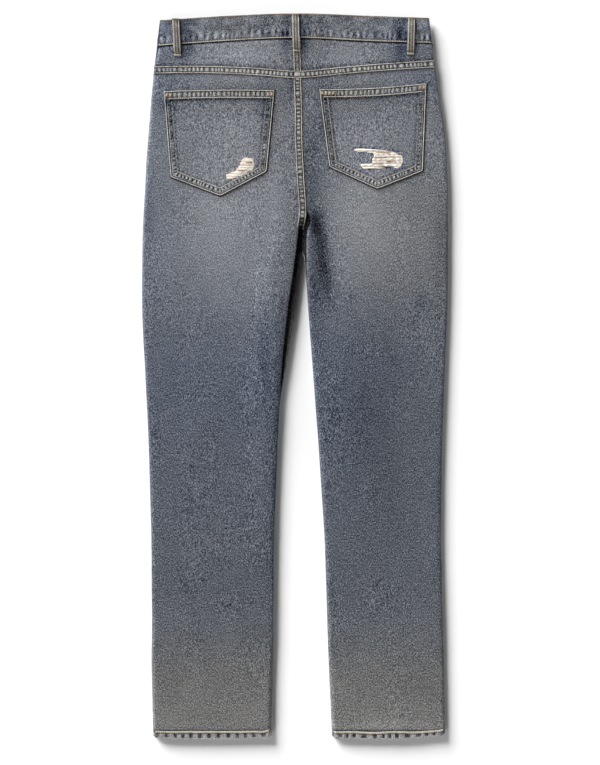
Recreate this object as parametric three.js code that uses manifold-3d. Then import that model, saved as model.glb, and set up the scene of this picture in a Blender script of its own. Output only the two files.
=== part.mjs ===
// Ripped straight-leg jeans, laid flat on a table: front side down, back side up, waist towards +Y.
// Millimetres, +Z up. -X is the wearer's left. The origin is under the middle of the garment, on the table.
import * as THREE from "three";
import { mergeVertices } from "three/addons/utils/BufferGeometryUtils.js";
import Module from "manifold-3d";

const wasm = await Module();
wasm.setup();

// --- Driving dimensions ---------------------------------------------------------------------------

const DENIM = 1.2; // one layer of washed denim
const BAND = 2; // the waistband, two layers
const HEM_WALL = 2.4; // the turned-up hem, two layers
const STRAP = 1.5; // a belt loop's folded strap
const SEAM = 0.3; // clearance between pieces that meet at a seam or lie on each other

const SIDE_HEIGHT = 9.5; // outside height of a leg beside its rolled edge
const CROWN = 0.6; // how much higher the middle of a leg lies
const CROWN_REACH = 45; // distance from the edge over which it rises
const SEAM_HEIGHT = 4.75; // the side seams run at half height
const ROLL = 6; // width of a rolled side edge
const THIGH_ROLL = 14; // width of the softer roll inside the thigh
const ROLL_STEPS = 3; // facets in a quarter roll

const WAIST_LIFT = 2.9; // the front loops and the button hold the waist this far off the table
const LIFT_FROM = 380; // height along the garment where the front leaves the table
const LIFT_TO = 465; // and where it is fully lifted
const WAIST_RISE = 1.3; // how much the back panels rise over the same length
const WAIST_SEAM_HEIGHT = 7; // height of the side fold at the waist
const BAND_BASE = 9.5; // underside of the back waistband
const UNDERLAP_RISE = 2; // the closure's extra layers push the back waistband up
const YOKE_BUMP = 1.7; // and the yokes below it
const BUMP_FLAT = 32; // half width of that bump's top
const BUMP_REACH = 90; // half width at its foot

const HEM_LENGTH = 12.5; // height of the turned-up hem
const HEM_BOTTOM = -543.5;
const HEM_TOP = HEM_BOTTOM + HEM_LENGTH;
const CROTCH = 229; // where the legs part
const FRONT_DIP = 26; // the front waist is cut this much lower than the back
const BAND_HEIGHT = 38;

// --- Outline, as [height along the garment, distance across] ---------------------------------------

const LEFT_SIDE = through([
  [-543, -212], [-395, -215.3], [-185, -217.5], [-5, -225], [85, -230.2], [175, -230.4],
  [235, -228.9], [355, -219.9], [415, -215], [457, -210.8], [536, -201.2],
]);
const RIGHT_SIDE = through([
  [-543, 226.5], [-425, 223.8], [-245, 219.3], [-155, 219.8], [25, 226.2], [115, 229.8],
  [205, 230.4], [295, 230.2], [385, 223.5], [430, 215.3], [502, 206.3], [538, 201.8],
]);
const LEFT_INSEAM = through([
  [-543, -34.5], [-425, -32.7], [-245, -30.8], [-155, -28.2], [-65, -23.3], [25, -18.8],
  [115, -8.3], [175, -1.5], [205, 3], [222, 6.5],
]);
const RIGHT_INSEAM = through([
  [-543, 56.5], [-425, 51], [-245, 45.3], [-155, 40.5], [-65, 33], [25, 26.3],
  [115, 19.5], [175, 16.3], [205, 16.6], [222, 19],
]);
const CENTRE_BACK = through([
  [236, 14.5], [262, 11.5], [295, 9.4], [340, 6.5], [400, 6], [457, 4], [508, 2],
]);
const CENTRE_FRONT = through([[CROTCH, 12], [480, 8]]);
const LEFT_FORK = through([[115, -8.3], [150, -3], [180, 5.5], [205, 9], [CROTCH, 11.85]]);
const RIGHT_FORK = through([[115, 19.5], [150, 17.5], [180, 15], [205, 13.3], [CROTCH, 12.15]]);

// --- Cross seams, as [distance across, height along the garment] -----------------------------------

const WAIST_TOP = through([[-202, 533.5], [-113, 539.5], [0, 543.5], [124, 539.8], [203, 537]]);
const WAIST_SEAM = through([[-206, 495], [-113, 501.8], [4, 506.8], [124, 501.8], [208, 499.5]]);
const YOKE_SEAM = through([
  [-210, 464], [-158, 465], [-113, 464.3], [-54, 461.5], [4, 457], [65, 462.5], [124, 467.8], [210, 473.4],
]);

// --- Pieces sewn on ---------------------------------------------------------------------------------

const LEFT_POCKET = {
  topLeft: [-196, 427.4], topRight: [-29.7, 428.9],
  lowRight: [-41.6, 307.2], tip: [-111.2, 270.5], lowLeft: [-185.4, 298.8],
};
const RIGHT_POCKET = {
  topLeft: [36.9, 430.4], topRight: [197.6, 439.2],
  lowRight: [192.3, 308], tip: [124, 281.1], lowLeft: [52.2, 314.1],
};
// The torn places, worn through the pockets down to their white weft.
const LEFT_RIP = [
  [-78, 326.5], [-74, 328], [-62.4, 326.7], [-61.2, 315], [-62.8, 309.8], [-70.4, 306.8], [-75, 303],
  [-87, 298.4], [-100.2, 294.6], [-102.8, 301.5], [-95.7, 305.7], [-88.8, 307.3], [-84.2, 313], [-81.9, 317.3],
];
const RIGHT_RIP = [
  [88.2, 341], [97.5, 342.9], [120.6, 340.3], [146.1, 337.3], [153.6, 333.4], [161, 330.5], [162.9, 322.4],
  [158.6, 314.3], [152.3, 311.7], [146.5, 314.9], [131.7, 313.9], [127.5, 311.3], [110.6, 311.9],
  [106.8, 309], [100.7, 313.5], [97.8, 319], [109.4, 318.9], [116.9, 320.2], [115.7, 325.5], [119.3, 329.9],
  [118.1, 334.8], [93.2, 336.8],
];
const LOOP_WIDTH = 12.2;
const LOOP_GAP = 2.6; // clear height under a back loop
const LOOP_PAD = 6; // length of its stitched ends
const BACK_LOOPS = [
  { name: "belt_loop_back_left", x: -176.7, low: 480.3, high: 537.3, lean: 3 },
  { name: "belt_loop_back_centre", x: 1.2, low: 488, high: 544, lean: 1.2 },
  { name: "belt_loop_back_right", x: 174.6, low: 483.8, high: 538.4, lean: -1.5 },
];
const FRONT_LOOPS = [
  { name: "belt_loop_front_left", x: -98 },
  { name: "belt_loop_front_right", x: 104 },
];
const FRONT_LOOP_LENGTH = 54;
const BUTTON_RADIUS = 8.5;
const BUTTON_X = 10;
const OVERLAP_END = BUTTON_X + 16; // where the buttonhole end of the waistband stops
const UNDERLAP_END = BUTTON_X - 26; // where the button end under it stops
const UNDERLAP_RAMP = 14; // length over which the button end climbs over the other
const SCOOP_WIDTH = 104; // the hip pocket's mouth, along the waist
const SCOOP_DEPTH = 76; // and down the side seam
const THIGH_FOLD = { from: [36, 285], to: [56, 95], depth: 1.8, width: 13 }; // the one deep fold

// --- Materials --------------------------------------------------------------------------------------

const denim = cloth(0x626b7a);
const wornDenim = cloth(0x7e838c);
const weft = cloth(0xe6ddd0);
const buttonMetal = new THREE.MeshStandardMaterial({ color: 0x8b8175, roughness: 0.42, metalness: 0.9 });

function cloth(color) {
  return new THREE.MeshStandardMaterial({ color, roughness: 0.95, metalness: 0 });
}

// --- Curves and heights -------------------------------------------------------------------------------

// A smooth function through [input, output] stations.
function through(stations) {
  const inputs = stations.map(([input]) => input);
  const outputs = stations.map(([, output]) => output);
  const spline = new THREE.CubicInterpolant(inputs, outputs, 1);
  return (input) => spline.evaluate(input)[0];
}

const lerp = THREE.MathUtils.lerp;
const smooth = THREE.MathUtils.smoothstep;

const lift = (y) => smooth(y, LIFT_FROM, LIFT_TO);
const seamHeight = (y) => lerp(SEAM_HEIGHT, WAIST_SEAM_HEIGHT, lift(y));
const closureBump = (x) => 1 - smooth(Math.abs(x - CENTRE_FRONT(480)), BUMP_FLAT, BUMP_REACH);

// 0 above the crotch, 1 where the legs are separate tubes.
const backParted = (y) => 1 - smooth(y, 222, 250);
const frontParted = (y) => 1 - smooth(y, 150, 190);

// Silhouette of the back panels on either side of the centre seam, then of the inside legs.
const leftInner = (y) => (y < CROTCH ? LEFT_INSEAM(y) : CENTRE_BACK(y) - SEAM / 2);
const rightInner = (y) => (y < CROTCH ? RIGHT_INSEAM(y) : CENTRE_BACK(y) + SEAM / 2);
const leftFront = (y) => (y < 115 ? LEFT_INSEAM(y) : y < CROTCH ? LEFT_FORK(y) : CENTRE_FRONT(y) - SEAM / 2);
const rightFront = (y) => (y < 115 ? RIGHT_INSEAM(y) : y < CROTCH ? RIGHT_FORK(y) : CENTRE_FRONT(y) + SEAM / 2);

const sideRoll = () => ROLL;
const thighRoll = (y) => lerp(ROLL, THIGH_ROLL, smooth(y, 20, 150));

// Depth of the fold that runs down from the seat beside the crotch on the right leg.
function foldDepth(x, y) {
  const [fromX, fromY] = THIGH_FOLD.from;
  const [toX, toY] = THIGH_FOLD.to;
  const along = (y - fromY) / (toY - fromY);
  if (along <= 0 || along >= 1) return 0;
  const across = (x - lerp(fromX, toX, along)) / THIGH_FOLD.width;
  return THIGH_FOLD.depth * Math.sin(Math.PI * along) * Math.exp(-across * across);
}

// Height of the outside of the back panels and yokes.
function backHeight(x, y) {
  const outer = x < CENTRE_BACK(y) ? x - LEFT_SIDE(y) : RIGHT_SIDE(y) - x;
  const inner = x < CENTRE_BACK(y) ? leftInner(y) - x : x - rightInner(y);
  const swell = (distance) => 1 - Math.exp(-Math.max(distance, 0) / CROWN_REACH);
  const crown = CROWN * swell(outer) * lerp(1, swell(inner), backParted(y));
  const bump = YOKE_BUMP * closureBump(x) * smooth(y, 430, 485);
  return SIDE_HEIGHT + crown + WAIST_RISE * lift(y) + bump - foldDepth(x, y);
}

const frontHeight = (x, y) => WAIST_LIFT * lift(y);
const bandHeight = (x) => BAND_BASE + BAND + UNDERLAP_RISE * closureBump(x);

const frontDip = (x) => FRONT_DIP * Math.max(0, 1 - (x / 205) ** 2);
const frontWaistTop = (x) => WAIST_TOP(x) - frontDip(x);
const frontWaistSeam = (x) => frontWaistTop(x) - BAND_HEIGHT;

// --- Solids ---------------------------------------------------------------------------------------------

// A thick sheet: a box of columns and rows whose points `place` puts in space.
// `under` is 1 on the sheet's lower face and 0 on its upper face.
function sheet(columns, rows, place) {
  const geometry = new THREE.BoxGeometry(columns, rows, 1, columns, rows, 1);
  const position = geometry.getAttribute("position");
  for (let n = 0; n < position.count; n++) {
    const column = Math.round(position.getX(n) + columns / 2);
    const row = Math.round(position.getY(n) + rows / 2);
    const under = position.getZ(n) < 0 ? 1 : 0;
    position.setXYZ(n, ...place(column, row, under));
  }
  geometry.computeVertexNormals();
  return geometry;
}

// One garment panel between two silhouette lines, whose edges roll towards the seam at half height.
//   facing   1 for a panel whose outside looks up, -1 for one whose outside looks down
//   levels   the rows: a height along the garment, or a function of the distance across
//   left, right          silhouette lines
//   rollLeft, rollRight  { width(y), share(y) }: the roll's width, and 0 to 1 for how far it turns over
//   stops    where the columns between the rolls stand, from 0 to 1
//   skin     height of the outside
function panel({ facing, wall, levels, left, right, rollLeft, rollRight, stops, skin }) {
  const columns = 2 * ROLL_STEPS + stops.length - 1;
  const acrossAt = (column, y) => {
    const fromRight = columns - column;
    const atLeft = column < fromRight;
    const roll = atLeft ? rollLeft : rollRight;
    const angle = (Math.min(column, fromRight, ROLL_STEPS) / ROLL_STEPS) * (Math.PI / 2);
    const edgeLeft = left(y) + rollLeft.width(y);
    const edgeRight = right(y) - rollRight.width(y);
    const inRoll = Math.min(column, fromRight) <= ROLL_STEPS;
    const inward = atLeft ? 1 : -1;
    const x = inRoll
      ? (atLeft ? left(y) : right(y)) + inward * roll.width(y) * (1 - Math.cos(angle))
      : lerp(edgeLeft, edgeRight, stops[column - ROLL_STEPS]);
    return { x, angle, inward, share: inRoll ? roll.share(y) : 0 };
  };
  return sheet(columns, levels.length - 1, (column, row, under) => {
    const level = levels[row];
    let y = typeof level === "number" ? level : level(lerp(left(300), right(300), column / columns));
    if (typeof level !== "number") for (let n = 0; n < 3; n++) y = level(acrossAt(column, y).x);
    const { x, angle, inward, share } = acrossAt(column, y);
    const top = skin(x, y);
    const seam = seamHeight(y) + (facing * SEAM) / 2;
    const outside = lerp(top, seam + (top - seam) * Math.sin(angle), share);
    if ((facing > 0) === (under === 0)) return [x, y, outside];
    const insideX = x + inward * share * wall * Math.cos(angle);
    return [insideX, y, outside - facing * wall * lerp(1, Math.sin(angle), share)];
  });
}

// Where the columns of the back panels and yokes stand between their rolls: closer near the fold and the seat.
const LEFT_STOPS = [0, 0.18, 0.36, 0.54, 0.72, 0.86, 1];
const RIGHT_STOPS = [0, 0.045, 0.09, 0.14, 0.22, 0.4, 0.6, 0.8, 1];
const FRONT_STOPS = [0, 1 / 7, 2 / 7, 3 / 7, 4 / 7, 5 / 7, 6 / 7, 1];

const turned = { width: sideRoll, share: () => 1 };
const inThigh = { width: thighRoll, share: backParted };
const inFork = { width: sideRoll, share: frontParted };
const square = { width: sideRoll, share: () => 0 };

// manifold-3d solids, for the cuts.
function solidOf(geometry) {
  const bare = (geometry.index ? geometry.toNonIndexed() : geometry.clone()).deleteAttribute("normal").deleteAttribute("uv");
  const merged = mergeVertices(bare, 1e-3);
  return new wasm.Manifold(
    new wasm.Mesh({
      numProp: 3,
      vertProperties: merged.getAttribute("position").array,
      triVerts: new Uint32Array(merged.index.array),
    }),
  );
}

function geometryOf(solid) {
  const { vertProperties, triVerts } = solid.getMesh();
  const geometry = new THREE.BufferGeometry();
  geometry.setAttribute("position", new THREE.BufferAttribute(vertProperties, 3));
  geometry.setIndex(new THREE.BufferAttribute(triVerts, 1));
  geometry.computeVertexNormals();
  return geometry;
}

// A plan outline pulled in by `distance` along its corners' bisectors; the outline runs clockwise.
function pulledIn(outline, distance) {
  const points = outline.map(([x, y]) => new THREE.Vector2(x, y));
  return points.map((point, n) => {
    const before = points.at(n - 1);
    const after = points[(n + 1) % points.length];
    const rightOf = (a, b) => new THREE.Vector2(b.y - a.y, a.x - b.x).normalize();
    const normalIn = rightOf(before, point);
    const normalOut = rightOf(point, after);
    const bisector = normalIn.clone().add(normalOut).normalize();
    const moved = point.clone().addScaledVector(bisector, distance / Math.max(bisector.dot(normalIn), 0.4));
    return [moved.x, moved.y];
  });
}

// An upright prism of a plan shape, tall enough to cut any layer.
function cutter(shape) {
  return solidOf(new THREE.ExtrudeGeometry(shape, { depth: 40, bevelEnabled: false }).translate(0, 0, -10));
}

function outlineShape(outline) {
  return new THREE.Shape(outline.map(([x, y]) => new THREE.Vector2(x, y)));
}

// --- Pieces -----------------------------------------------------------------------------------------------

const jeans = new THREE.Group();

function add(name, geometry, material) {
  const mesh = new THREE.Mesh(geometry, material);
  mesh.name = name;
  jeans.add(mesh);
  return mesh;
}

function backPanels() {
  const belowYoke = (x) => YOKE_SEAM(x) - SEAM / 2;
  const levels = [
    HEM_TOP + SEAM, -425, -335, -245, -155, -65, 25, 85, 130, 165, 190, 210, 222, 236, 250, 270, 310, 355, 395, 430,
    belowYoke,
  ];
  const common = { facing: 1, wall: DENIM, levels, skin: backHeight };
  add("back_left", panel({
    ...common, left: LEFT_SIDE, right: leftInner, rollLeft: turned, rollRight: inThigh, stops: LEFT_STOPS,
  }), denim);
  add("back_right", panel({
    ...common, left: rightInner, right: RIGHT_SIDE, rollLeft: inThigh, rollRight: turned, stops: RIGHT_STOPS,
  }), denim);
}

function yokes() {
  const levels = [
    (x) => YOKE_SEAM(x) + SEAM / 2,
    (x) => lerp(YOKE_SEAM(x), WAIST_SEAM(x), 0.5),
    (x) => WAIST_SEAM(x) - SEAM,
  ];
  const common = { facing: 1, wall: DENIM, levels, skin: backHeight };
  const atSeam = { width: thighRoll, share: () => 0 };
  add("yoke_left", panel({
    ...common, left: LEFT_SIDE, right: leftInner, rollLeft: turned, rollRight: atSeam, stops: LEFT_STOPS,
  }), wornDenim);
  add("yoke_right", panel({
    ...common, left: rightInner, right: RIGHT_SIDE, rollLeft: atSeam, rollRight: turned, stops: RIGHT_STOPS,
  }), wornDenim);
}

// The front panels lie on the table; the hip pocket's mouth is scooped out of each, and a facing fills it.
function fronts() {
  const levels = [
    HEM_TOP + SEAM, -395, -245, -95, 25, 85, 115, 150, 165, 180, 205, CROTCH - 1, CROTCH + 1, 300, LIFT_FROM, 400, 420,
    442, LIFT_TO, (x) => frontWaistSeam(x) - SEAM,
  ];
  const common = { facing: -1, wall: DENIM, levels, skin: frontHeight, stops: FRONT_STOPS };
  const sides = [
    { side: "left", edge: LEFT_SIDE, box: { left: LEFT_SIDE, right: leftFront, rollLeft: turned, rollRight: inFork } },
    { side: "right", edge: RIGHT_SIDE, box: { left: rightFront, right: RIGHT_SIDE, rollLeft: inFork, rollRight: turned } },
  ];
  for (const { side, edge, box } of sides) {
    const whole = solidOf(panel({ ...common, ...box }));
    const scoop = (pull) => cutter(new THREE.Shape().absellipse(
      edge(495), 499, SCOOP_WIDTH - pull, SCOOP_DEPTH - pull, 0, 2 * Math.PI,
    ));
    add(`front_${side}`, geometryOf(whole.subtract(scoop(0))), denim);
    add(`hip_facing_${side}`, geometryOf(whole.intersect(scoop(SEAM))), denim);
  }
}

function waistband() {
  add("waistband_back", panel({
    facing: 1, wall: BAND, levels: [WAIST_SEAM, (x) => lerp(WAIST_SEAM(x), WAIST_TOP(x), 0.5), WAIST_TOP],
    left: LEFT_SIDE, right: RIGHT_SIDE, rollLeft: turned, rollRight: turned,
    stops: [0, 0.1, 0.2, 0.3, 0.36, 0.43, 0.5, 0.57, 0.63, 0.68, 0.76, 0.84, 0.92, 1], skin: bandHeight,
  }), wornDenim);
  const front = { facing: -1, wall: BAND, levels: [frontWaistSeam, frontWaistTop] };
  add("waistband_front_left", panel({
    ...front, left: LEFT_SIDE, right: () => OVERLAP_END, rollLeft: turned, rollRight: square,
    stops: FRONT_STOPS, skin: frontHeight,
  }), wornDenim);
  const climb = (x) => WAIST_LIFT + (BAND + SEAM) * (1 - smooth(x, OVERLAP_END + SEAM, OVERLAP_END + UNDERLAP_RAMP));
  add("waistband_front_right", panel({
    ...front, left: () => UNDERLAP_END, right: RIGHT_SIDE, rollLeft: square, rollRight: turned,
    stops: [0, 0.1, 0.177, 0.2, 0.222, 0.244, 0.33, 0.44, 0.55, 0.66, 0.77, 0.88, 1], skin: climb,
  }), wornDenim);
}

// A pocket patch lies on the back panel: its points are the panel's, moved out.
function pocketPatch({ topLeft, topRight, lowRight, tip, lowLeft }) {
  const tipShare = (tip[0] - lowLeft[0]) / (lowRight[0] - lowLeft[0]);
  const columns = [0, tipShare / 2, tipShare, (1 + tipShare) / 2, 1];
  const rows = [0, 0.25, 0.5, 0.75, 1];
  return sheet(columns.length - 1, rows.length - 1, (column, row, under) => {
    const u = columns[column];
    const bottom = u < tipShare ? u / tipShare : (1 - u) / (1 - tipShare);
    const [corner] = u < tipShare ? [lowLeft] : [lowRight];
    const along = (n) => lerp(lerp(corner[n], tip[n], bottom), lerp(topLeft[n], topRight[n], u), rows[row]);
    const [x, y] = [along(0), along(1)];
    return [x, y, backHeight(x, y) + SEAM + (1 - under) * DENIM];
  });
}

// The bared weft in a torn place: a plain plate of the threads' reach, level with the pocket around it.
function weftPlate(rip) {
  const xs = rip.map(([x]) => x);
  const ys = rip.map(([, y]) => y);
  const [west, east, south, north] = [Math.min(...xs), Math.max(...xs), Math.min(...ys), Math.max(...ys)];
  const plate = sheet(3, 2, (column, row, under) => {
    const x = lerp(west, east, column / 3);
    const y = lerp(south, north, row / 2);
    return [x, y, backHeight(x, y) + SEAM + 0.1 + (1 - under) * 0.9];
  });
  return geometryOf(solidOf(plate).intersect(cutter(outlineShape(pulledIn(rip, SEAM)))));
}

function backPockets() {
  const patches = [
    { side: "left", pocket: LEFT_POCKET, rip: LEFT_RIP },
    { side: "right", pocket: RIGHT_POCKET, rip: RIGHT_RIP },
  ];
  for (const { side, pocket, rip } of patches) {
    const torn = solidOf(pocketPatch(pocket)).subtract(cutter(outlineShape(rip)));
    add(`back_pocket_${side}`, geometryOf(torn), denim);
    add(`rip_weft_${side}`, weftPlate(rip), weft);
  }
}

// A strap seen from its side, [distance from its low end, height], pulled out across the loop's width.
function strap(profile) {
  const geometry = new THREE.ExtrudeGeometry(outlineShape(profile), { depth: LOOP_WIDTH, bevelEnabled: false });
  const alongY = new THREE.Vector3(0, 1, 0);
  const alongZ = new THREE.Vector3(0, 0, 1);
  const alongX = new THREE.Vector3(1, 0, 0);
  return geometry
    .translate(0, 0, -LOOP_WIDTH / 2)
    .applyMatrix4(new THREE.Matrix4().makeBasis(alongY, alongZ, alongX));
}

function backLoop({ name, x, low, high, lean }) {
  const length = high - low;
  const onYoke = backHeight(x, low + LOOP_PAD) + SEAM;
  const onBand = bandHeight(x) + SEAM;
  const under = onBand - SEAM + LOOP_GAP;
  const loop = add(name, strap([
    [0, onYoke], [LOOP_PAD, onYoke], [LOOP_PAD + 6, under], [length - 12, under], [length - LOOP_PAD, onBand],
    [length, onBand], [length, onBand + STRAP], [length - LOOP_PAD, onBand + STRAP + 0.8],
    [length - 13, under + STRAP], [LOOP_PAD + 7, under + STRAP], [LOOP_PAD, onYoke + STRAP + 0.8], [0, onYoke + STRAP],
  ]), denim);
  loop.position.set(x, low, 0);
  loop.rotation.z = THREE.MathUtils.degToRad(lean);
}

// The front loops lie under the waistband and carry it.
function frontLoop({ name, x }) {
  const length = FRONT_LOOP_LENGTH;
  const reach = WAIST_LIFT - SEAM;
  const loop = add(name, strap([
    [0, 1], [4, 0], [length - 4, 0], [length, 1], [length, reach], [length - LOOP_PAD, reach],
    [length - LOOP_PAD - 4, STRAP], [LOOP_PAD + 4, STRAP], [LOOP_PAD, reach], [0, reach],
  ]), denim);
  loop.position.set(x, frontWaistTop(x) + 1 - length, 0);
}

// The turned-up hem: a flat ring, rounded at its sides, drawn across the leg and pulled out along it.
function hem(name, left, right) {
  const quarter = [0, 1, 2, 3, 4];
  const ring = (inset) => {
    const arc = (x, height, start, steps) => steps.map((step) => {
      const angle = start - (step * Math.PI) / 8;
      const reach = (ROLL - inset) * Math.cos(angle);
      return new THREE.Vector2(x + reach, SEAM_HEIGHT + (height - inset) * Math.sin(angle));
    });
    return [
      ...arc(left + ROLL, SIDE_HEIGHT - SEAM_HEIGHT, Math.PI, quarter),
      new THREE.Vector2((left + right) / 2, SIDE_HEIGHT + CROWN - inset),
      ...arc(right - ROLL, SIDE_HEIGHT - SEAM_HEIGHT, Math.PI / 2, quarter),
      ...arc(right - ROLL, SEAM_HEIGHT, 0, quarter.slice(1)),
      ...arc(left + ROLL, SEAM_HEIGHT, -Math.PI / 2, quarter.slice(0, -1)),
    ];
  };
  const shape = new THREE.Shape(ring(0));
  shape.holes.push(new THREE.Path(ring(HEM_WALL).reverse()));
  const geometry = new THREE.ExtrudeGeometry(shape, { depth: HEM_LENGTH, bevelEnabled: false });
  const mesh = add(name, geometry, wornDenim);
  mesh.rotation.x = Math.PI / 2;
  mesh.position.y = HEM_TOP;
}

// The tack button under the waistband: a shallow cap with a raised rim, its face on the table.
function waistButton() {
  const top = WAIST_LIFT - SEAM;
  const profile = [
    [0, 0.5], [5.6, 0.5], [6.4, 0], [7.6, 0], [BUTTON_RADIUS, 0.9], [7.8, 1.9], [4, 2], [4, top], [0, top],
  ].map(([radius, height]) => new THREE.Vector2(radius, height));
  const mesh = add("waist_button", new THREE.LatheGeometry(profile, 24), buttonMetal);
  mesh.rotation.x = Math.PI / 2;
  mesh.position.set(BUTTON_X, (frontWaistTop(BUTTON_X) + frontWaistSeam(BUTTON_X)) / 2, 0);
}

backPanels();
yokes();
fronts();
waistband();
backPockets();
BACK_LOOPS.forEach(backLoop);
FRONT_LOOPS.forEach(frontLoop);
hem("hem_left", LEFT_SIDE(HEM_TOP), LEFT_INSEAM(HEM_TOP));
hem("hem_right", RIGHT_INSEAM(HEM_TOP), RIGHT_SIDE(HEM_TOP));
waistButton();

// The origin is the middle of the bounding box, on the table.
const box = new THREE.Box3().setFromObject(jeans);
const middle = box.getCenter(new THREE.Vector3());
jeans.position.set(-middle.x, -middle.y, -box.min.z);

export default jeans;
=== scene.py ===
"""Ripped straight-leg jeans, laid flat with the back side up: cloth, seams, stitches, tears and wear."""

import logging
import math
from dataclasses import dataclass
from enum import Enum
from typing import Callable, Sequence

import bmesh
import bpy
import numpy as np
from mathutils import Matrix, Vector
from mathutils.bvhtree import BVHTree


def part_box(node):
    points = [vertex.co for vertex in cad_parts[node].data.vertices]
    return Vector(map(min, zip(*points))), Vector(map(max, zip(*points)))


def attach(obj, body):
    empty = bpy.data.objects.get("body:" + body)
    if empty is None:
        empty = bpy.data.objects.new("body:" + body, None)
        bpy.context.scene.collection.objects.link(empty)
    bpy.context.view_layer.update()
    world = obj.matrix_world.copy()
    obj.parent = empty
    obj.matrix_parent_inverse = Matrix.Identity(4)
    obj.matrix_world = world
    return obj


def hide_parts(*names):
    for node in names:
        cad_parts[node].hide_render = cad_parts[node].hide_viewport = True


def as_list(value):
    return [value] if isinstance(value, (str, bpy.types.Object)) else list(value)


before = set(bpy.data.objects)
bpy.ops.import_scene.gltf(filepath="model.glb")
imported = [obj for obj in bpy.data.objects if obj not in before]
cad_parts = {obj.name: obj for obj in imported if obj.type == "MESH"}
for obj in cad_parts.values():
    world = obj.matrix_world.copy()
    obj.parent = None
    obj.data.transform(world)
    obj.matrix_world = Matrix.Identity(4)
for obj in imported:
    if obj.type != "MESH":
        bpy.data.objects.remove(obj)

log = logging.getLogger("jeans")
Array = np.ndarray
Piece = bpy.types.Object
Field = Callable[[Array, Array], Array]
MM = 0.001

# --- Sizes that the cloth itself sets, in millimetres ---

DENIM_WALL = 1.2
BAND_WALL = 2.0
SIDE_ROLL = 6.0
STITCH_PITCH = 3.2
PUCKER_PERIOD = 6.4
FELL_WIDTH = 11.2
THREAD_WIDTH = 1.25

# How many chance values a line or a field of them has before it repeats.
LINE_VALUES = 509
FIELD_VALUES = 127


# --- Small tools ---


def mix(a: Array, b: Array, share: Array) -> Array:
    """Value between a and b, at a share from 0 to 1."""
    return a + (b - a) * share


def ease(value: Array, low: float, high: float) -> Array:
    """Smooth step from 0 at low to 1 at high, either way round."""
    t = np.clip((np.asarray(value, float) - low) / (high - low), 0.0, 1.0)
    return t * t * (3.0 - 2.0 * t)


def bell(distance: Array, width: float) -> Array:
    """Soft bump: 1 at no distance, falling off over a width."""
    return np.exp(-np.square(np.asarray(distance, float) / width))


def softened(values: Array, spread: float) -> Array:
    """A row of values with its corners rounded off.

    Args:
        values: evenly spaced values.
        spread: how far each is spread, in steps.

    Returns:
        The softened values, with the ends' slopes kept.
    """
    reach = max(int(3 * spread), 1)
    kernel = bell(np.arange(-reach, reach + 1), spread * math.sqrt(2))
    padded = np.pad(values, reach, mode="reflect", reflect_type="odd")
    return np.convolve(padded, kernel / kernel.sum(), mode="valid")


def mesh_points(mesh: bpy.types.Mesh) -> Array:
    """A mesh's points, in metres."""
    points = np.empty(len(mesh.vertices) * 3)
    mesh.vertices.foreach_get("co", points)
    return points.reshape(-1, 3)


def box_mm(node: str) -> tuple[Vector, Vector]:
    """Lowest and highest corner of a CAD node, in millimetres."""
    low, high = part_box(node)
    return low / MM, high / MM


def flat_size(node: str) -> tuple[float, float]:
    """Width and length of a CAD node, in metres."""
    low, high = box_mm(node)
    return (high.x - low.x) * MM, (high.y - low.y) * MM


@dataclass(frozen=True)
class Wander:
    """Smooth chance variation along a line, from -1 to 1."""

    step: float
    seed: int

    def __call__(self, at: Array) -> Array:
        """Value at each place along the line."""
        knots = np.random.default_rng(self.seed).uniform(-1, 1, LINE_VALUES)
        place = np.asarray(at, float) / self.step + 211
        low = np.floor(place).astype(int)
        share = ease(place - low, 0, 1)
        return mix(knots[low % LINE_VALUES], knots[(low + 1) % LINE_VALUES], share)


@dataclass(frozen=True)
class Mottle:
    """Smooth chance variation over the cloth, from -1 to 1, in cells of a given width and length."""

    width: float
    length: float
    seed: int

    def __call__(self, x: Array, y: Array) -> Array:
        """Value at each point."""
        size = FIELD_VALUES
        table = np.random.default_rng(self.seed).uniform(-1, 1, (size, size))
        across = np.asarray(x, float) / self.width + 61
        along = np.asarray(y, float) / self.length + 61
        i, j = np.floor(across).astype(int), np.floor(along).astype(int)
        u, v = ease(across - i, 0, 1), ease(along - j, 0, 1)
        near = mix(table[i % size, j % size], table[(i + 1) % size, j % size], u)
        far = mix(table[i % size, (j + 1) % size], table[(i + 1) % size, (j + 1) % size], u)
        return mix(near, far, v)


@dataclass(frozen=True)
class Pucker:
    """The gathers that shrinkage leaves along a sewn edge, from -1 in a dip to 1 on a bump."""

    seed: int
    period: float = PUCKER_PERIOD

    def __call__(self, along: Array) -> Array:
        """Height of the gathers at each place along the seam."""
        phase = np.asarray(along, float) / self.period + 0.5 * Wander(self.period * 2.3, self.seed)(along)
        strength = 0.72 + 0.28 * Wander(self.period * 3.1, self.seed + 1)(along)
        return np.sin(2 * math.pi * phase) * strength


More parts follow.
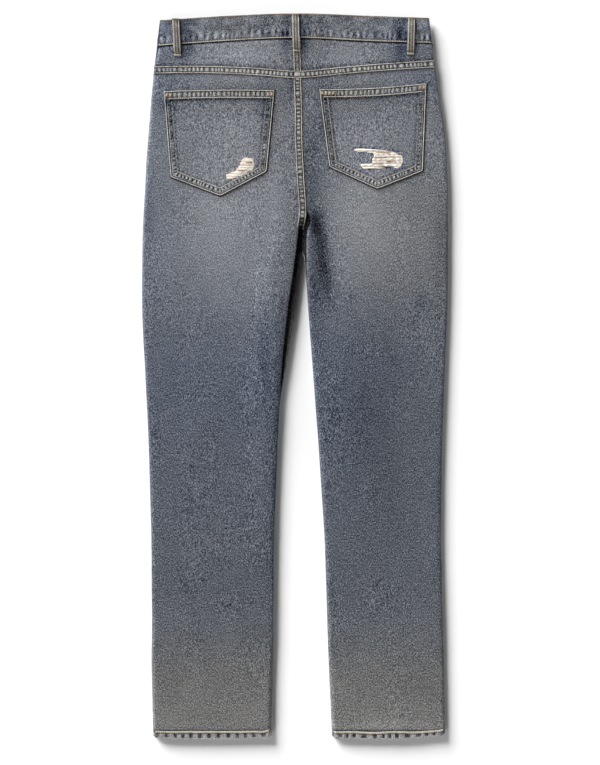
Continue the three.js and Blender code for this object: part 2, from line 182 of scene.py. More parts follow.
@dataclass(frozen=True)
class SewnEdge:
    """How a folded edge held by two rows of stitches stands and wears, across its width.

    A pale worn fold, a tan groove with painted shade where the first row bites, a ladder of pale gathers
    between dark dips, a second groove with painted shade, a paler ridge where the turned-under cloth ends,
    and a painted shadow beyond it.
    """

    width: float
    gathers: Pucker
    ladder: float = 0.2
    fold: float = 0.2
    inner: float = 0.16
    lift: float = 0.5
    start: float = 3.0

    def between(self, near: Array) -> Array:
        """Share of a point in the ladder between the rows."""
        return ease(near, self.start - 0.6, self.start + 0.6) * ease(near, self.width - 1.9, self.width - 3.1)

    def relief(self, near: Array, along: Array) -> Array:
        """Height above the cloth at a distance inside the edge and a place along it."""
        body = self.lift * ease(near, self.width + 0.6, self.width - 0.8)
        grooves = 0.4 * bell(near - 2.3, 0.7) + 0.35 * bell(near - self.width + 1.9, 0.7)
        return body - grooves + 0.4 * self.gathers(along) * self.between(near)

    def shade(self, near: Array, along: Array) -> Array:
        """Change in lightness: worn pale fold, ladder and ridge, with painted shade in the grooves and a
        painted shadow beyond the inner edge.
        """
        steps = np.clip(self.gathers(along) * 1.5, -1, 1)
        tone = self.fold * bell(near - 0.95, 0.75) - 0.2 * bell(near - self.start + 0.65, 0.65)
        tone = tone + self.ladder * (steps + 0.35) * self.between(near)
        tone = tone - 0.15 * bell(near - self.width + 2.1, 0.65)
        tone = tone + self.inner * bell(near - self.width + 0.8, 0.8)
        return tone - 0.12 * bell(near - self.width - 1.8, 1.5)

    def tint(self, near: Array) -> Array:
        """Change in the dye's tint: tan where the thread has rubbed off on the fold."""
        rubbed = 0.06 * bell(near - 1.6, 1.4) + 0.03 * bell(near - self.width + 1.5, 1.5)
        return -rubbed - 0.045 * self.between(near)


# --- Shader tools ---


class Socket:
    """A shader value that Python's operators work on."""

    def __init__(self, nodes: "Nodes", link: bpy.types.NodeSocket) -> None:
        """Wraps one output socket."""
        self.nodes = nodes
        self.link = link

    def _maths(self, operation: str, *values: "Socket | float") -> "Socket":
        """Adds one Math node."""
        return self.nodes.add("ShaderNodeMath", {"operation": operation}, dict(enumerate(values)))

    def __add__(self, other: "Socket | float") -> "Socket":
        """Sum."""
        return self._maths("ADD", self, other)

    __radd__ = __add__

    def __mul__(self, other: "Socket | float") -> "Socket":
        """Product."""
        return self._maths("MULTIPLY", self, other)

    __rmul__ = __mul__

    def __sub__(self, other: "Socket | float") -> "Socket":
        """Difference."""
        return self._maths("SUBTRACT", self, other)

    def __rsub__(self, other: float) -> "Socket":
        """Difference from a number."""
        return self._maths("SUBTRACT", other, self)

    def __pow__(self, power: float) -> "Socket":
        """Power."""
        return self._maths("POWER", self, power)

    def sine(self) -> "Socket":
        """Sine."""
        return self._maths("SINE", self)

    def within(self, low: float, high: float) -> "Socket":
        """The value held between two limits."""
        return self._maths("MINIMUM", self._maths("MAXIMUM", self, low), high)

    def eased(self, low: float, high: float) -> "Socket":
        """Smooth step from 0 at low to 1 at high."""
        inputs = {"Value": self, "From Min": low, "From Max": high}
        return self.nodes.add("ShaderNodeMapRange", {"interpolation_type": "SMOOTHSTEP"}, inputs)


class Nodes:
    """One material's nodes."""

    def __init__(self, name: str) -> None:
        """Starts an empty material."""
        self.material = bpy.data.materials.new(name)
        self.material.use_nodes = True
        self.tree = self.material.node_tree
        self.tree.nodes.clear()

    def add(self, kind: str, settings: dict, inputs: dict, output: int | str = 0) -> Socket:
        """Adds one node.

        Args:
            kind: the node's type.
            settings: its properties, set before its sockets.
            inputs: socket name or number, and the value or Socket it takes.
            output: which output to hand back.

        Returns:
            The chosen output.
        """
        node = self.tree.nodes.new(kind)
        for key, value in settings.items():
            setattr(node, key, value)
        for key, value in inputs.items():
            if isinstance(value, Socket):
                self.tree.links.new(value.link, node.inputs[key])
            else:
                node.inputs[key].default_value = value
        return Socket(self, node.outputs[output])

    def position(self) -> Socket:
        """The point on the object, in metres."""
        return self.add("ShaderNodeTexCoord", {}, {}, "Object")

    def attribute(self, name: str) -> Socket:
        """A value stored on the mesh."""
        return self.add("ShaderNodeAttribute", {"attribute_name": name}, {}, "Fac")

    def stretched(self, place: Socket, factors: tuple[float, float, float]) -> Socket:
        """Coordinates scaled on each axis."""
        return self.add("ShaderNodeMapping", {"vector_type": "POINT"}, {"Vector": place, "Scale": factors})

    def noise(self, place: Socket, size_mm: float, detail: float = 1.0, roughness: float = 0.5) -> Socket:
        """Even noise about 0.5, with features of a size in millimetres."""
        inputs = {"Vector": place, "Scale": 1 / (size_mm * MM), "Detail": detail, "Roughness": roughness}
        return self.add("ShaderNodeTexNoise", {"noise_dimensions": "3D"}, inputs, "Fac")

    def colour(self, red: Socket, green: Socket, blue: Socket) -> Socket:
        """A colour from three values."""
        return self.add("ShaderNodeCombineColor", {"mode": "RGB"}, {"Red": red, "Green": green, "Blue": blue})

    def blend(self, share: Socket, dark: Sequence[float], light: Sequence[float]) -> Socket:
        """A colour between two."""
        settings = {"data_type": "RGBA", "blend_type": "MIX"}
        return self.add("ShaderNodeMix", settings, {0: share, 6: (*dark, 1.0), 7: (*light, 1.0)}, 2)

    def bump(self, height: Socket, depth_mm: float, strength: float = 1.0) -> Socket:
        """A normal bent by a height from 0 to 1."""
        inputs = {"Height": height, "Distance": depth_mm * MM, "Strength": strength}
        return self.add("ShaderNodeBump", {}, inputs, "Normal")

    def surface(self, **inputs: "Socket | float") -> bpy.types.Material:
        """Ends the material in a Principled shader, whose sockets are named with underscores for spaces."""
        named = {key.replace("_", " "): value for key, value in inputs.items()}
        shader = self.add("ShaderNodeBsdfPrincipled", {}, named, "BSDF")
        self.add_output(shader)
        return self.material

    def add_output(self, shader: Socket) -> None:
        """Joins a shader to the material's output."""
        output = self.tree.nodes.new("ShaderNodeOutputMaterial")
        self.tree.links.new(shader.link, output.inputs["Surface"])


# --- Finishes ---


@dataclass(frozen=True)
class DenimFinish:
    """Washed indigo twill. The mesh's `tone` says how light it has worn, with painted shade and a few painted
    highlights in it, and `blue` how blue it looks.
    """

    name: str
    grain: float = 0.15
    lightness: float = 0.0
    twill_mm: float = 1.5
    reflectance: float = 0.80
    gamma: float = 2.2

    def material(self) -> bpy.types.Material:
        """Builds the material."""
        nodes = Nodes(self.name)
        place = nodes.position()
        tone = nodes.attribute("tone") + self.lightness
        blue = nodes.attribute("blue")

        def uneven(across: float, along: float, size_mm: float, detail: float = 0.0) -> Socket:
            """Chance variation about 0, drawn out where a factor is small."""
            return nodes.noise(nodes.stretched(place, (across, along, 1.0)), size_mm, detail) - 0.5

        # Yarns of uneven thickness, upright for the warp and level for the weft, and speckle between them.
        speck = uneven(1.0, 0.52, 1.1)
        fleck = uneven(1.0, 0.7, 2.2)
        clump = uneven(1.0, 0.8, 7.0, 1.5)
        warp = uneven(1.0, 0.07, 1.6)
        weft = uneven(0.09, 1.0, 1.6)
        twill = self._twill(nodes, place)
        yarns = speck * 4.9 + fleck * 0.5 + clump * 0.3 + warp * 0.4 + weft * 0.3
        worn = yarns * (1.45 - tone * 1.15) * self.grain
        level = (tone + worn + twill * 0.02).within(0.045, 0.93)
        red = (level - blue * 0.33).within(0.02, 1.0) ** self.gamma * self.reflectance
        green = level ** self.gamma * self.reflectance
        bluish = (level + blue * 0.67).within(0.02, 1.0) ** self.gamma * self.reflectance
        relief = twill * 0.4 + speck * 0.6 + warp * 0.4 + weft * 0.4
        return nodes.surface(
            Base_Color=nodes.colour(red, green, bluish),
            Roughness=0.95 - level * 0.1,
            Specular_IOR_Level=0.18,
            Normal=nodes.bump(relief, 0.28, 0.75),
        )

    def _twill(self, nodes: Nodes, place: Socket) -> Socket:
        """The twill's diagonal ribs, from -1 to 1."""
        parts = nodes.add("ShaderNodeSeparateXYZ", {}, {"Vector": place}, "X")
        node = parts.link.node
        across, along = Socket(nodes, node.outputs["X"]), Socket(nodes, node.outputs["Y"])
        rate = 2 * math.pi / (self.twill_mm * MM)
        return (across * rate - along * (rate * 0.62)).sine()


@dataclass(frozen=True)
class CottonFinish:
    """Cotton yarn or sewing thread. The mesh's `shade` runs from 0, tan and dark, to 1, cream and bright."""

    name: str
    dark: tuple[float, float, float]
    light: tuple[float, float, float]
    ply_mm: float = 0.8

    def material(self) -> bpy.types.Material:
        """Builds the material."""
        nodes = Nodes(self.name)
        place = nodes.position()
        shade = nodes.attribute("shade")
        fibre = nodes.noise(nodes.stretched(place, (0.16, 1.0, 1.0)), self.ply_mm, 2.0) - 0.5
        share = (shade + fibre * 0.3).within(0.0, 1.0)
        return nodes.surface(
            Base_Color=nodes.blend(share, self.dark, self.light),
            Roughness=0.85 - share * 0.1,
            Specular_IOR_Level=0.25,
            Normal=nodes.bump(fibre, 0.12, 0.6),
        )


@dataclass(frozen=True)
class MetalFinish:
    """Aged metal, rubbed bright in scattered patches."""

    name: str
    colour: tuple[float, float, float]

    def material(self) -> bpy.types.Material:
        """Builds the material."""
        nodes = Nodes(self.name)
        wear = nodes.noise(nodes.position(), 2.2, 3.0)
        dull = tuple(part * 0.45 for part in self.colour)
        colour = nodes.blend(wear.eased(0.35, 0.62), dull, self.colour)
        return nodes.surface(
            Base_Color=colour, Metallic=1.0, Roughness=0.6 - wear * 0.35, Normal=nodes.bump(wear, 0.05, 0.5)
        )


@dataclass(frozen=True)
class PaperFinish:
    """The pale surface that the jeans lie on."""

    name: str = "pale_floor"

    def material(self) -> bpy.types.Material:
        """Builds the material."""
        nodes = Nodes(self.name)
        mottled = nodes.noise(nodes.position(), 40.0, 1.0) * 0.01 + 0.885
        return nodes.surface(Base_Color=nodes.colour(mottled, mottled, mottled), Roughness=0.95)


class Finish(Enum):
    """The finishes on the jeans, each by its material's name."""

    DENIM = "washed_denim"
    STRAP = "belt_loop_denim"
    INSIDE = "denim_inside"
    THREAD = "topstitch_thread"
    WEFT = "bare_weft_yarn"
    BUTTON = "aged_button_metal"

    @property
    def material(self) -> bpy.types.Material:
        """The finish's material, which make_finishes has built."""
        return bpy.data.materials[self.value]


def make_finishes() -> None:
    """Builds every finish once."""
    DenimFinish(Finish.DENIM.value).material()
    DenimFinish(Finish.STRAP.value, grain=0.07).material()
    DenimFinish(Finish.INSIDE.value, grain=0.10, lightness=0.05).material()
    CottonFinish(Finish.THREAD.value, (0.13, 0.085, 0.045), (0.50, 0.48, 0.435)).material()
    CottonFinish(Finish.WEFT.value, (0.25, 0.16, 0.10), (0.72, 0.675, 0.605), 1.6).material()
    MetalFinish(Finish.BUTTON.value, (0.55, 0.47, 0.38)).material()


# --- The garment's form, read from the CAD nodes ---


class CadShape:
    """One or more CAD nodes, read as slices and heights, in millimetres."""

    def __init__(self, *names: str) -> None:
        """Gathers the nodes' triangles."""
        corners = []
        for name in names:
            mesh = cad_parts[name].data
            mesh.calc_loop_triangles()
            order = np.empty(len(mesh.loop_triangles) * 3, int)
            mesh.loop_triangles.foreach_get("vertices", order)
            corners.append(mesh_points(mesh)[order.reshape(-1, 3)] / MM)
        self.triangles = np.concatenate(corners)
        pairs = [self.triangles[:, [a, b]] for a, b in ((0, 1), (1, 2), (2, 0))]
        self.edges = np.concatenate(pairs)
        flat = self.triangles.reshape(-1, 3)
        self.tree = BVHTree.FromPolygons(flat.tolist(), np.arange(len(flat)).reshape(-1, 3).tolist())

    def slice(self, axis: int, level: float) -> Array:
        """Where the nodes' edges cross a plane.

        Args:
            axis: 0 for a plane of constant X, 1 for constant Y.
            level: the plane's place.

        Returns:
            The crossing points, or none.
        """
        start, end = self.edges[:, 0], self.edges[:, 1]
        span = end[:, axis] - start[:, axis]
        share = np.where(span != 0, (level - start[:, axis]) / np.where(span == 0, 1, span), -1)
        hit = (share >= 0) & (share <= 1)
        return (start + (end - start) * share[:, None])[hit]

    def top(self, x: float, y: float, from_above: bool = True) -> float | None:
        """Height of the outermost surface at a point, seen from above or below."""
        way = -1.0 if from_above else 1.0
        point, *_ = self.tree.ray_cast(Vector((x, y, -way * 100.0)), Vector((0.0, 0.0, way)))
        return None if point is None else point.z


@dataclass
class Line:
    """A value along a row of evenly spaced places, such as an edge's distance across."""

    places: Array
    values: Array

    def __call__(self, at: Array) -> Array:
        """Value at each place."""
        return np.interp(at, self.places, self.values)

    def redrawn(self, points: Sequence[tuple[float, float]], fade: float) -> "Line":
        """The line with a stretch redrawn through points, blended in over a distance at its low end."""
        points = np.array(points)
        places = np.arange(self.places[0], self.places[-1], 1.0)
        drawn = np.interp(places, points[:, 0], points[:, 1])
        share = ease(places, points[0, 0], points[0, 0] + fade) * (places < points[-1, 0])
        return Line(places, softened(mix(self(places), drawn, share), 1.2))


def steady_part(places: Array, values: Array, spread: float, reach: float = 46.0) -> Line:
    """The longest stretch of a row that runs smoothly, softened and carried on straight past both ends.

    Args:
        places: evenly spaced places.
        values: the value at each.
        spread: how far the values are rounded, in millimetres.
        reach: how far the line is carried on, in millimetres.

    Returns:
        The finished line.
    """
    step = places[1] - places[0]
    rough = np.flatnonzero(np.abs(np.diff(values)) > 1.2 * step)
    breaks = np.concatenate([[-1], rough, [len(values) - 1]])
    longest = int(np.diff(breaks).argmax())
    places = places[breaks[longest] + 1:breaks[longest + 1] + 1]
    values = softened(values[breaks[longest] + 1:breaks[longest + 1] + 1], spread / step)
    before, after = (np.polyfit(places[part], values[part], 1) for part in (slice(0, 8), slice(-8, None)))
    ends = np.array([places[0] - reach, places[-1] + reach])
    values = np.concatenate([[np.polyval(before, ends[0])], values, [np.polyval(after, ends[1])]])
    return Line(np.concatenate([ends[:1], places, ends[1:]]), values)


def side_lines(shape: CadShape, low: float, high: float, spread: float = 14.0) -> tuple[Line, Line, Line]:
    """A node's left edge, right edge and the height of its outer one, as lines along the garment.

    Args:
        shape: the node.
        low: lowest place along the garment.
        high: highest.
        spread: how far the edges are rounded, in millimetres.

    Returns:
        Left edge, right edge, and the height of the seam at whichever edge is the garment's own side.
    """
    places = np.arange(low + 0.3, high - 0.3, 2.0 if high - low > 100 else 1.0)
    cuts = [shape.slice(1, y) for y in places]
    lows = np.array([cut[cut[:, 0].argmin()] for cut in cuts])
    highs = np.array([cut[cut[:, 0].argmax()] for cut in cuts])
    outer = lows if np.abs(lows[:, 0]).max() > np.abs(highs[:, 0]).max() else highs
    return tuple(steady_part(places, column, spread) for column in (lows[:, 0], highs[:, 0], outer[:, 2]))


def level_line(shape: CadShape, lowest: bool, margin: float = 5.0) -> Line:
    """A node's lower or upper edge, as a line across the garment."""
    x = shape.triangles[..., 0]
    places = np.arange(x.min() + margin, x.max() - margin, 2.0)
    pick = np.min if lowest else np.max
    values = np.array([pick(shape.slice(0, place)[:, 1]) for place in places])
    return Line(places, softened(values, 3.0))


class Heights:
    """The height of the garment's outside over its flat parts, as a smooth field."""

    def __init__(self, shape: CadShape, from_above: bool, cell: float = 5.0, spread: float = 2.2) -> None:
        """Reads the nodes on a grid of cells and smooths it, leaving out the rolled edges."""
        flat = shape.triangles.reshape(-1, 3)
        self.low = flat[:, :2].min(0) - cell
        count = np.ceil((flat[:, :2].max(0) + cell - self.low) / cell).astype(int) + 1
        self.cell = cell
        tops = np.full(count, np.nan)
        for i in range(count[0]):
            for j in range(count[1]):
                height = shape.top(self.low[0] + i * cell, self.low[1] + j * cell, from_above)
                tops[i, j] = np.nan if height is None else height
        solid = ~np.isnan(tops)
        inner = solid.copy()
        for shift in (1, 2):
            for axis in (0, 1):
                inner &= np.roll(solid, shift, axis) & np.roll(solid, -shift, axis)
        known = inner.astype(float)
        values = np.where(inner, tops, 0.0)
        total = self._spread(values, spread)
        weight = self._spread(known, spread)
        wide = self._spread(values, spread * 4) / np.maximum(self._spread(known, spread * 4), 1e-9)
        sure = np.clip(weight / 0.05, 0, 1)
        self.field = sure * total / np.maximum(weight, 1e-9) + (1 - sure) * wide

    @staticmethod
    def _spread(values: Array, spread: float) -> Array:
        """Blurs a field along both axes."""
        reach = int(3 * spread)
        kernel = bell(np.arange(-reach, reach + 1), spread * math.sqrt(2))
        kernel = kernel / kernel.sum()
        for axis in (0, 1):
            values = np.apply_along_axis(lambda row: np.convolve(row, kernel)[reach:-reach], axis, values)
        return values

    def __call__(self, x: Array, y: Array) -> Array:
        """Height at each point."""
        top = np.array(self.field.shape) - 1.001
        across = np.clip((np.asarray(x, float) - self.low[0]) / self.cell, 0, top[0])
        along = np.clip((np.asarray(y, float) - self.low[1]) / self.cell, 0, top[1])
        i, j = across.astype(int), along.astype(int)
        u, v = across - i, along - j
        near = mix(self.field[i, j], self.field[i + 1, j], u)
        far = mix(self.field[i, j + 1], self.field[i + 1, j + 1], u)
        return mix(near, far, v)


@dataclass(frozen=True)
class Crease:
    """One soft trough in the cloth, or a ridge where its depth is negative, along a line of points, with
    painted shade in its trough.
    """

    points: tuple[tuple[float, float], ...]
    width: float
    depth: float
    # shade darkens the cloth along the trough: painted shade.
    shade: float = 0.0
    ends: tuple[float, float] = (0.0, 0.0)

    def share(self, x: Array, y: Array) -> Array:
        """How much of the crease each point has, from 0 to 1, fading out at both ends."""
        points = np.array(self.points)
        lengths = np.hypot(*np.diff(points, axis=0).T)
        total, run = lengths.sum(), 0.0
        nearest = np.full(np.shape(x), 1e9)
        along = np.zeros(np.shape(x))
        for start, end, length in zip(points[:-1], points[1:], lengths):
            way = (end - start) / length
            t = np.clip((x - start[0]) * way[0] + (y - start[1]) * way[1], 0, length)
            gap = np.hypot(x - start[0] - way[0] * t, y - start[1] - way[1] * t)
            closer = gap < nearest
            nearest = np.where(closer, gap, nearest)
            along = np.where(closer, (run + t) / total, along)
            run += length
        fade = np.interp(along, (0, 0.25, 0.5, 1), (self.ends[0], 1, 1, self.ends[1]))
        return bell(nearest, self.width) * fade


# Back creases: points, width, depth, painted shade in the trough, and strength at the two ends.
BACK_CREASES = (
    Crease(
        ((35, 236), (38, 220), (42, 205), (46, 178), (49, 145), (54, 112), (58, 80)),
        10.5, 2.5, 0.22, (0.9, 0.0),
    ),
    Crease(
        ((-20, 268), (-24, 215), (-28, 165), (-32, 110), (-36, 50), (-40, -20), (-48, -300)),
        24.0, -3.5, 0.0, (0.2, 0.0),
    ),
    Crease(((29, 234), (31, 220), (34, 208)), 6.0, 0.8, 0.16, (0.6, 0.0)),
    Crease(((-12, 214), (-22, 180), (-30, 140), (-34, 100)), 11.0, 0.5, 0.03),
    Crease(((-81, 151), (-87, 135), (-93, 118)), 2.6, 0.35, 0.05),
    Crease(((64, 150), (80, 118), (104, 92)), 12.0, 0.5, 0.02),
    Crease(((-206, 250), (-170, 236), (-120, 232)), 12.0, 0.35, 0.0),
    Crease(((212, 246), (176, 230), (130, 228)), 12.0, 0.35, 0.0),
    Crease(((-196, -20), (-150, -34), (-90, -28)), 14.0, 0.4, 0.0),
    Crease(((210, 6), (160, -12), (90, 2)), 14.0, 0.4, 0.0),
    Crease(((-60, 40), (-96, 12), (-150, 8)), 11.0, -0.35, 0.0),
    Crease(((58, 60), (100, 34), (160, 40)), 11.0, -0.35, 0.0),
    Crease(((-44, -330), (-80, -344), (-150, -338)), 15.0, 0.35, 0.0),
    Crease(((70, -352), (120, -366), (190, -352)), 15.0, 0.35, 0.0),
)
LEFT_INSEAM = ((110, -8), (165, -1), (205, 4), (230, 7), (250, 12))
RIGHT_INSEAM = ((110, 20.5), (165, 18), (205, 18), (220, 19.5), (230, 24), (235, 25), (245, 20.5), (252, 13))
FRONT_CREASES = (
    Crease(((-150, 395), (-96, 330), (-30, 262)), 8.0, -1.0, 0.05),
    Crease(((150, 392), (100, 326), (40, 258)), 8.0, -1.0, 0.05),
    Crease(((-180, 300), (-110, 262), (-40, 236)), 7.0, -0.8, 0.04),
    Crease(((182, 300), (112, 262), (46, 236)), 7.0, -0.8, 0.04),
    Crease(((-190, 20), (-120, 4), (-50, 18)), 9.0, -0.8, 0.03),
    Crease(((196, 20), (130, 2), (60, 16)), 9.0, -0.8, 0.03),
    Crease(((-190, -60), (-120, -44), (-52, -52)), 9.0, -0.7, 0.03),
    Crease(((196, -64), (130, -48), (66, -58)), 9.0, -0.7, 0.03),
)


class WashAndShade:
    """How the dye has worn, with painted shade, as `tone`, the lightness the eye sees from 0 to 1, and
    `blue`, its tint.

    Each place is its middle, its reach across and along, and how much paler it is, or darker below 0.
    The pale places are worn dye; the dark ones beside the loops and seams are painted shade, the others
    simply darker.
    """

    FADE = (
        (-545, 0.455), (-490, 0.42), (-410, 0.375), (-320, 0.345), (-30, 0.345),
        (60, 0.37), (140, 0.41), (190, 0.43), (380, 0.435), (420, 0.41),
    )
    TINT = ((-545, -0.01), (-450, 0.0), (-370, 0.04), (-240, 0.055), (20, 0.075), (140, 0.045), (240, 0.035))
    SEAT_AND_THIGHS = (
        ((-105, 225), (65, 90), 0.08),
        ((105, 235), (50, 85), 0.085),
        ((-100, 295), (65, 60), 0.03),
        ((110, 300), (55, 50), 0.02),
        ((-95, 370), (60, 45), 0.035),
        ((120, 360), (45, 45), 0.03),
        ((-90, 130), (60, 40), 0.03),
        ((-28, 265), (14, 95), 0.045),
    )
    YOKES = (
        ((-85, 485), (65, 25), 0.13),
        ((85, 480), (55, 22), 0.095),
        ((-95, 448), (90, 10), 0.08),
        ((95, 446), (90, 9), 0.05),
        ((-155, 468), (24, 9), 0.065),
        ((-4, 446), (6, 22), -0.07),
    )
    # Painted shade, darker and bluer, beside the belt loops.
    SHADE_BESIDE_LOOPS = (
        ((-160, 500), (9, 24), -0.11),
        ((-192, 516), (8, 12), -0.05),
        ((-12, 512), (8, 24), -0.13),
        ((14, 506), (8, 24), -0.12),
        ((-44, 512), (12, 6), -0.05),
        ((105, 513), (22, 7), -0.07),
        ((160, 510), (8, 20), -0.13),
        ((158, 484), (13, 14), -0.07),
    )
    # Painted shade beside the seams, in troughs and along the left leg's inner edge.
    SHADE_BESIDE_SEAMS = (
        ((-46, 410), (10, 45), -0.045),
        ((46, 385), (11, 70), -0.055),
        ((25, 300), (15, 85), -0.07),
        ((30, 140), (15, 75), -0.07),
        ((-46, 35), (9, 60), -0.05),
        ((-22, -320), (10, 230), -0.09),
    )
    SIDES = (
        ((-217, 235), (8, 60), -0.035),
        ((-192, 408), (10, 10), -0.07),
        ((194, 438), (13, 11), -0.06),
        ((196, 380), (10, 60), 0.05),
        ((220, 210), (13, 75), -0.04),
        ((190, 110), (14, 16), -0.05),
        ((112, -60), (50, 170), -0.03),
        ((130, -524), (80, 10), 0.05),
    )

    def __init__(self) -> None:
        """Gathers the worn places."""
        self.places = self.SEAT_AND_THIGHS + self.YOKES + self.SHADE_BESIDE_LOOPS + self.SHADE_BESIDE_SEAMS + self.SIDES

    def tone(self, x: Array, y: Array) -> Array:
        """Lightness of the dye at each point, with the dark places, painted shade among them, counted 1.6
        times.
        """
        level = np.interp(y, *zip(*self.FADE)) + self.patches(x, y) - 0.6 * self.patches(x, y, True)
        return level + 0.0095 * Mottle(38, 52, 5)(x, y) + 0.007 * Mottle(15, 20, 6)(x, y)

    def patches(self, x: Array, y: Array, dark: bool = False) -> Array:
        """Change in lightness by the pale places and the dark ones, painted shade among them, or what the
        dark ones alone take off it.
        """
        change = 0.0 * np.asarray(x)
        for (cx, cy), (width, length), amount in self.places:
            if dark and amount > 0:
                continue
            change = change + amount * bell(np.hypot((x - cx) / width, (y - cy) / length), 1.0)
        return -change if dark else change

    def blue(self, x: Array, y: Array) -> Array:
        """Tint of the dye at each point, above 0 for blue and below 0 for warm, bluer in the dark places so
        that the painted shade reads navy.
        """
        tint = np.interp(y, *zip(*self.TINT)) + 0.02 * ease(x, -150, -205) * ease(y, 80, 140)
        tint = tint - 0.018 * ease(x, 60, 120) * ease(y, 330, 250) * ease(y, -420, 0)
        tint = tint + 0.016 * ease(np.abs(x), 100, 150) * ease(y, 390, 430)
        return tint + 0.34 * self.patches(x, y, True)


class Garment:
    """The laid garment as a whole: its edges, seams, heights, folds, dye and painted shade."""

    BACK_NODES = ("back_left", "back_right", "yoke_left", "yoke_right", "waistband_back")
    FRONT_NODES = (
        "front_left", "front_right", "hip_facing_left", "hip_facing_right",
        "waistband_front_left", "waistband_front_right",
    )

    def __init__(self) -> None:
        """Reads the form from the CAD nodes."""
        self.shapes = {name: CadShape(name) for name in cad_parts}
        self.above = Heights(CadShape(*self.BACK_NODES), True)
        self.below = Heights(CadShape(*self.FRONT_NODES), False)
        self.wash_and_shade = WashAndShade()
        self.yoke_seam = self._joined("yoke_left", "yoke_right", True)
        self.waist_seam = level_line(self.shapes["waistband_back"], True)
        self.waist_top = level_line(self.shapes["waistband_back"], False, 14.0)
        self.crotch = 229.0

    def _joined(self, left: str, right: str, lowest: bool) -> Line:
        """The lower or upper edges of two neighbours as one line."""
        lines = [level_line(self.shapes[name], lowest, 3.0) for name in (left, right)]
        places = np.concatenate([line.places for line in lines])
        values = np.concatenate([line.values for line in lines])
        return Line(places, softened(values, 5.0))

    def back_relief(self, x: Array, y: Array) -> Array:
        """How far soft folds and waves move the back's outside from its smooth form."""
        wave = Mottle(52, 84, 11)(x, y) * 0.34 + Mottle(20, 30, 12)(x, y) * 0.12
        wave = wave + Mottle(8, 11, 13)(x, y) * 0.04
        for crease in BACK_CREASES:
            wave = wave - crease.depth * crease.share(x, y)
        return wave

    def back(self, x: Array, y: Array) -> Array:
        """Height of the back's outside."""
        return self.above(x, y) + self.back_relief(x, y)

    def front(self, x: Array, y: Array) -> Array:
        """Height of the front's outside, which lies on the surface below."""
        wave = 0.0
        for crease in FRONT_CREASES:
            wave = wave - crease.depth * crease.share(x, y)
        return np.maximum(self.below(x, y), 0.0) + 0.5 + wave * 0.8

    def dye(self, x: Array, y: Array) -> Array:
        """Lightness of the dye with painted shade in the creases' troughs."""
        tone = self.wash_and_shade.tone(x, y)
        for crease in BACK_CREASES:
            tone = tone - crease.shade * crease.share(x, y)
        return tone


# --- Making cloth ---


@dataclass
class Laid:
    """Where the points of a sheet of cloth lie, in millimetres, and how its dye looks there, painted shade
    included.
    """

    x: Array
    y: Array
    z: Array
    tone: Array
    blue: Array


def new_piece(name: str, mesh: bpy.types.Mesh, slot: str, nodes: Sequence[str]) -> Piece:
    """Makes an object of a mesh, attaches it to the root and hides the CAD nodes that it stands for.

    Args:
        name: the piece's name.
        mesh: its mesh, in metres and in place.
        slot: its material slot's name; not used.
        nodes: the CAD nodes that it stands for.

    Returns:
        The new object.
    """
    piece = bpy.data.objects.new(name, mesh)
    bpy.context.scene.collection.objects.link(piece)
    mesh.polygons.foreach_set("use_smooth", np.ones(len(mesh.polygons), bool))
    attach(piece, "root")
    if nodes:
        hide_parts(*nodes)
    return piece


def store(mesh: bpy.types.Mesh, name: str, values: Array) -> None:
    """Stores one number at each of a mesh's points."""
    attribute = mesh.attributes.new(name, "FLOAT", "POINT")
    attribute.data.foreach_set("value", np.asarray(values, np.float32))


def finished_mesh(shape: bmesh.types.BMesh, name: str) -> bpy.types.Mesh:
    """Makes a mesh of a bmesh, and lets the bmesh go."""
    mesh = bpy.data.meshes.new(name)
    shape.to_mesh(mesh)
    shape.free()
    return mesh


def grid_mesh(name: str, columns: int, rows: int, facing: int = 1) -> tuple[bpy.types.Mesh, Array, Array]:
    """A flat grid as a mesh, and each point's share across and along it."""
    grid = bmesh.new()
    bmesh.ops.create_grid(grid, x_segments=columns, y_segments=rows, size=0.5)
    if facing < 0:
        bmesh.ops.reverse_faces(grid, faces=grid.faces[:])
    mesh = finished_mesh(grid, name)
    points = mesh_points(mesh) + 0.5
    return mesh, points[:, 0], points[:, 1]


def lay(mesh: bpy.types.Mesh, laid: Laid) -> None:
    """Puts a mesh's points in place, and stores how their dye looks, painted shade included."""
    mesh.vertices.foreach_set("co", (np.stack([laid.x, laid.y, laid.z], 1) * MM).ravel())
    store(mesh, "tone", laid.tone)
    store(mesh, "blue", laid.blue)


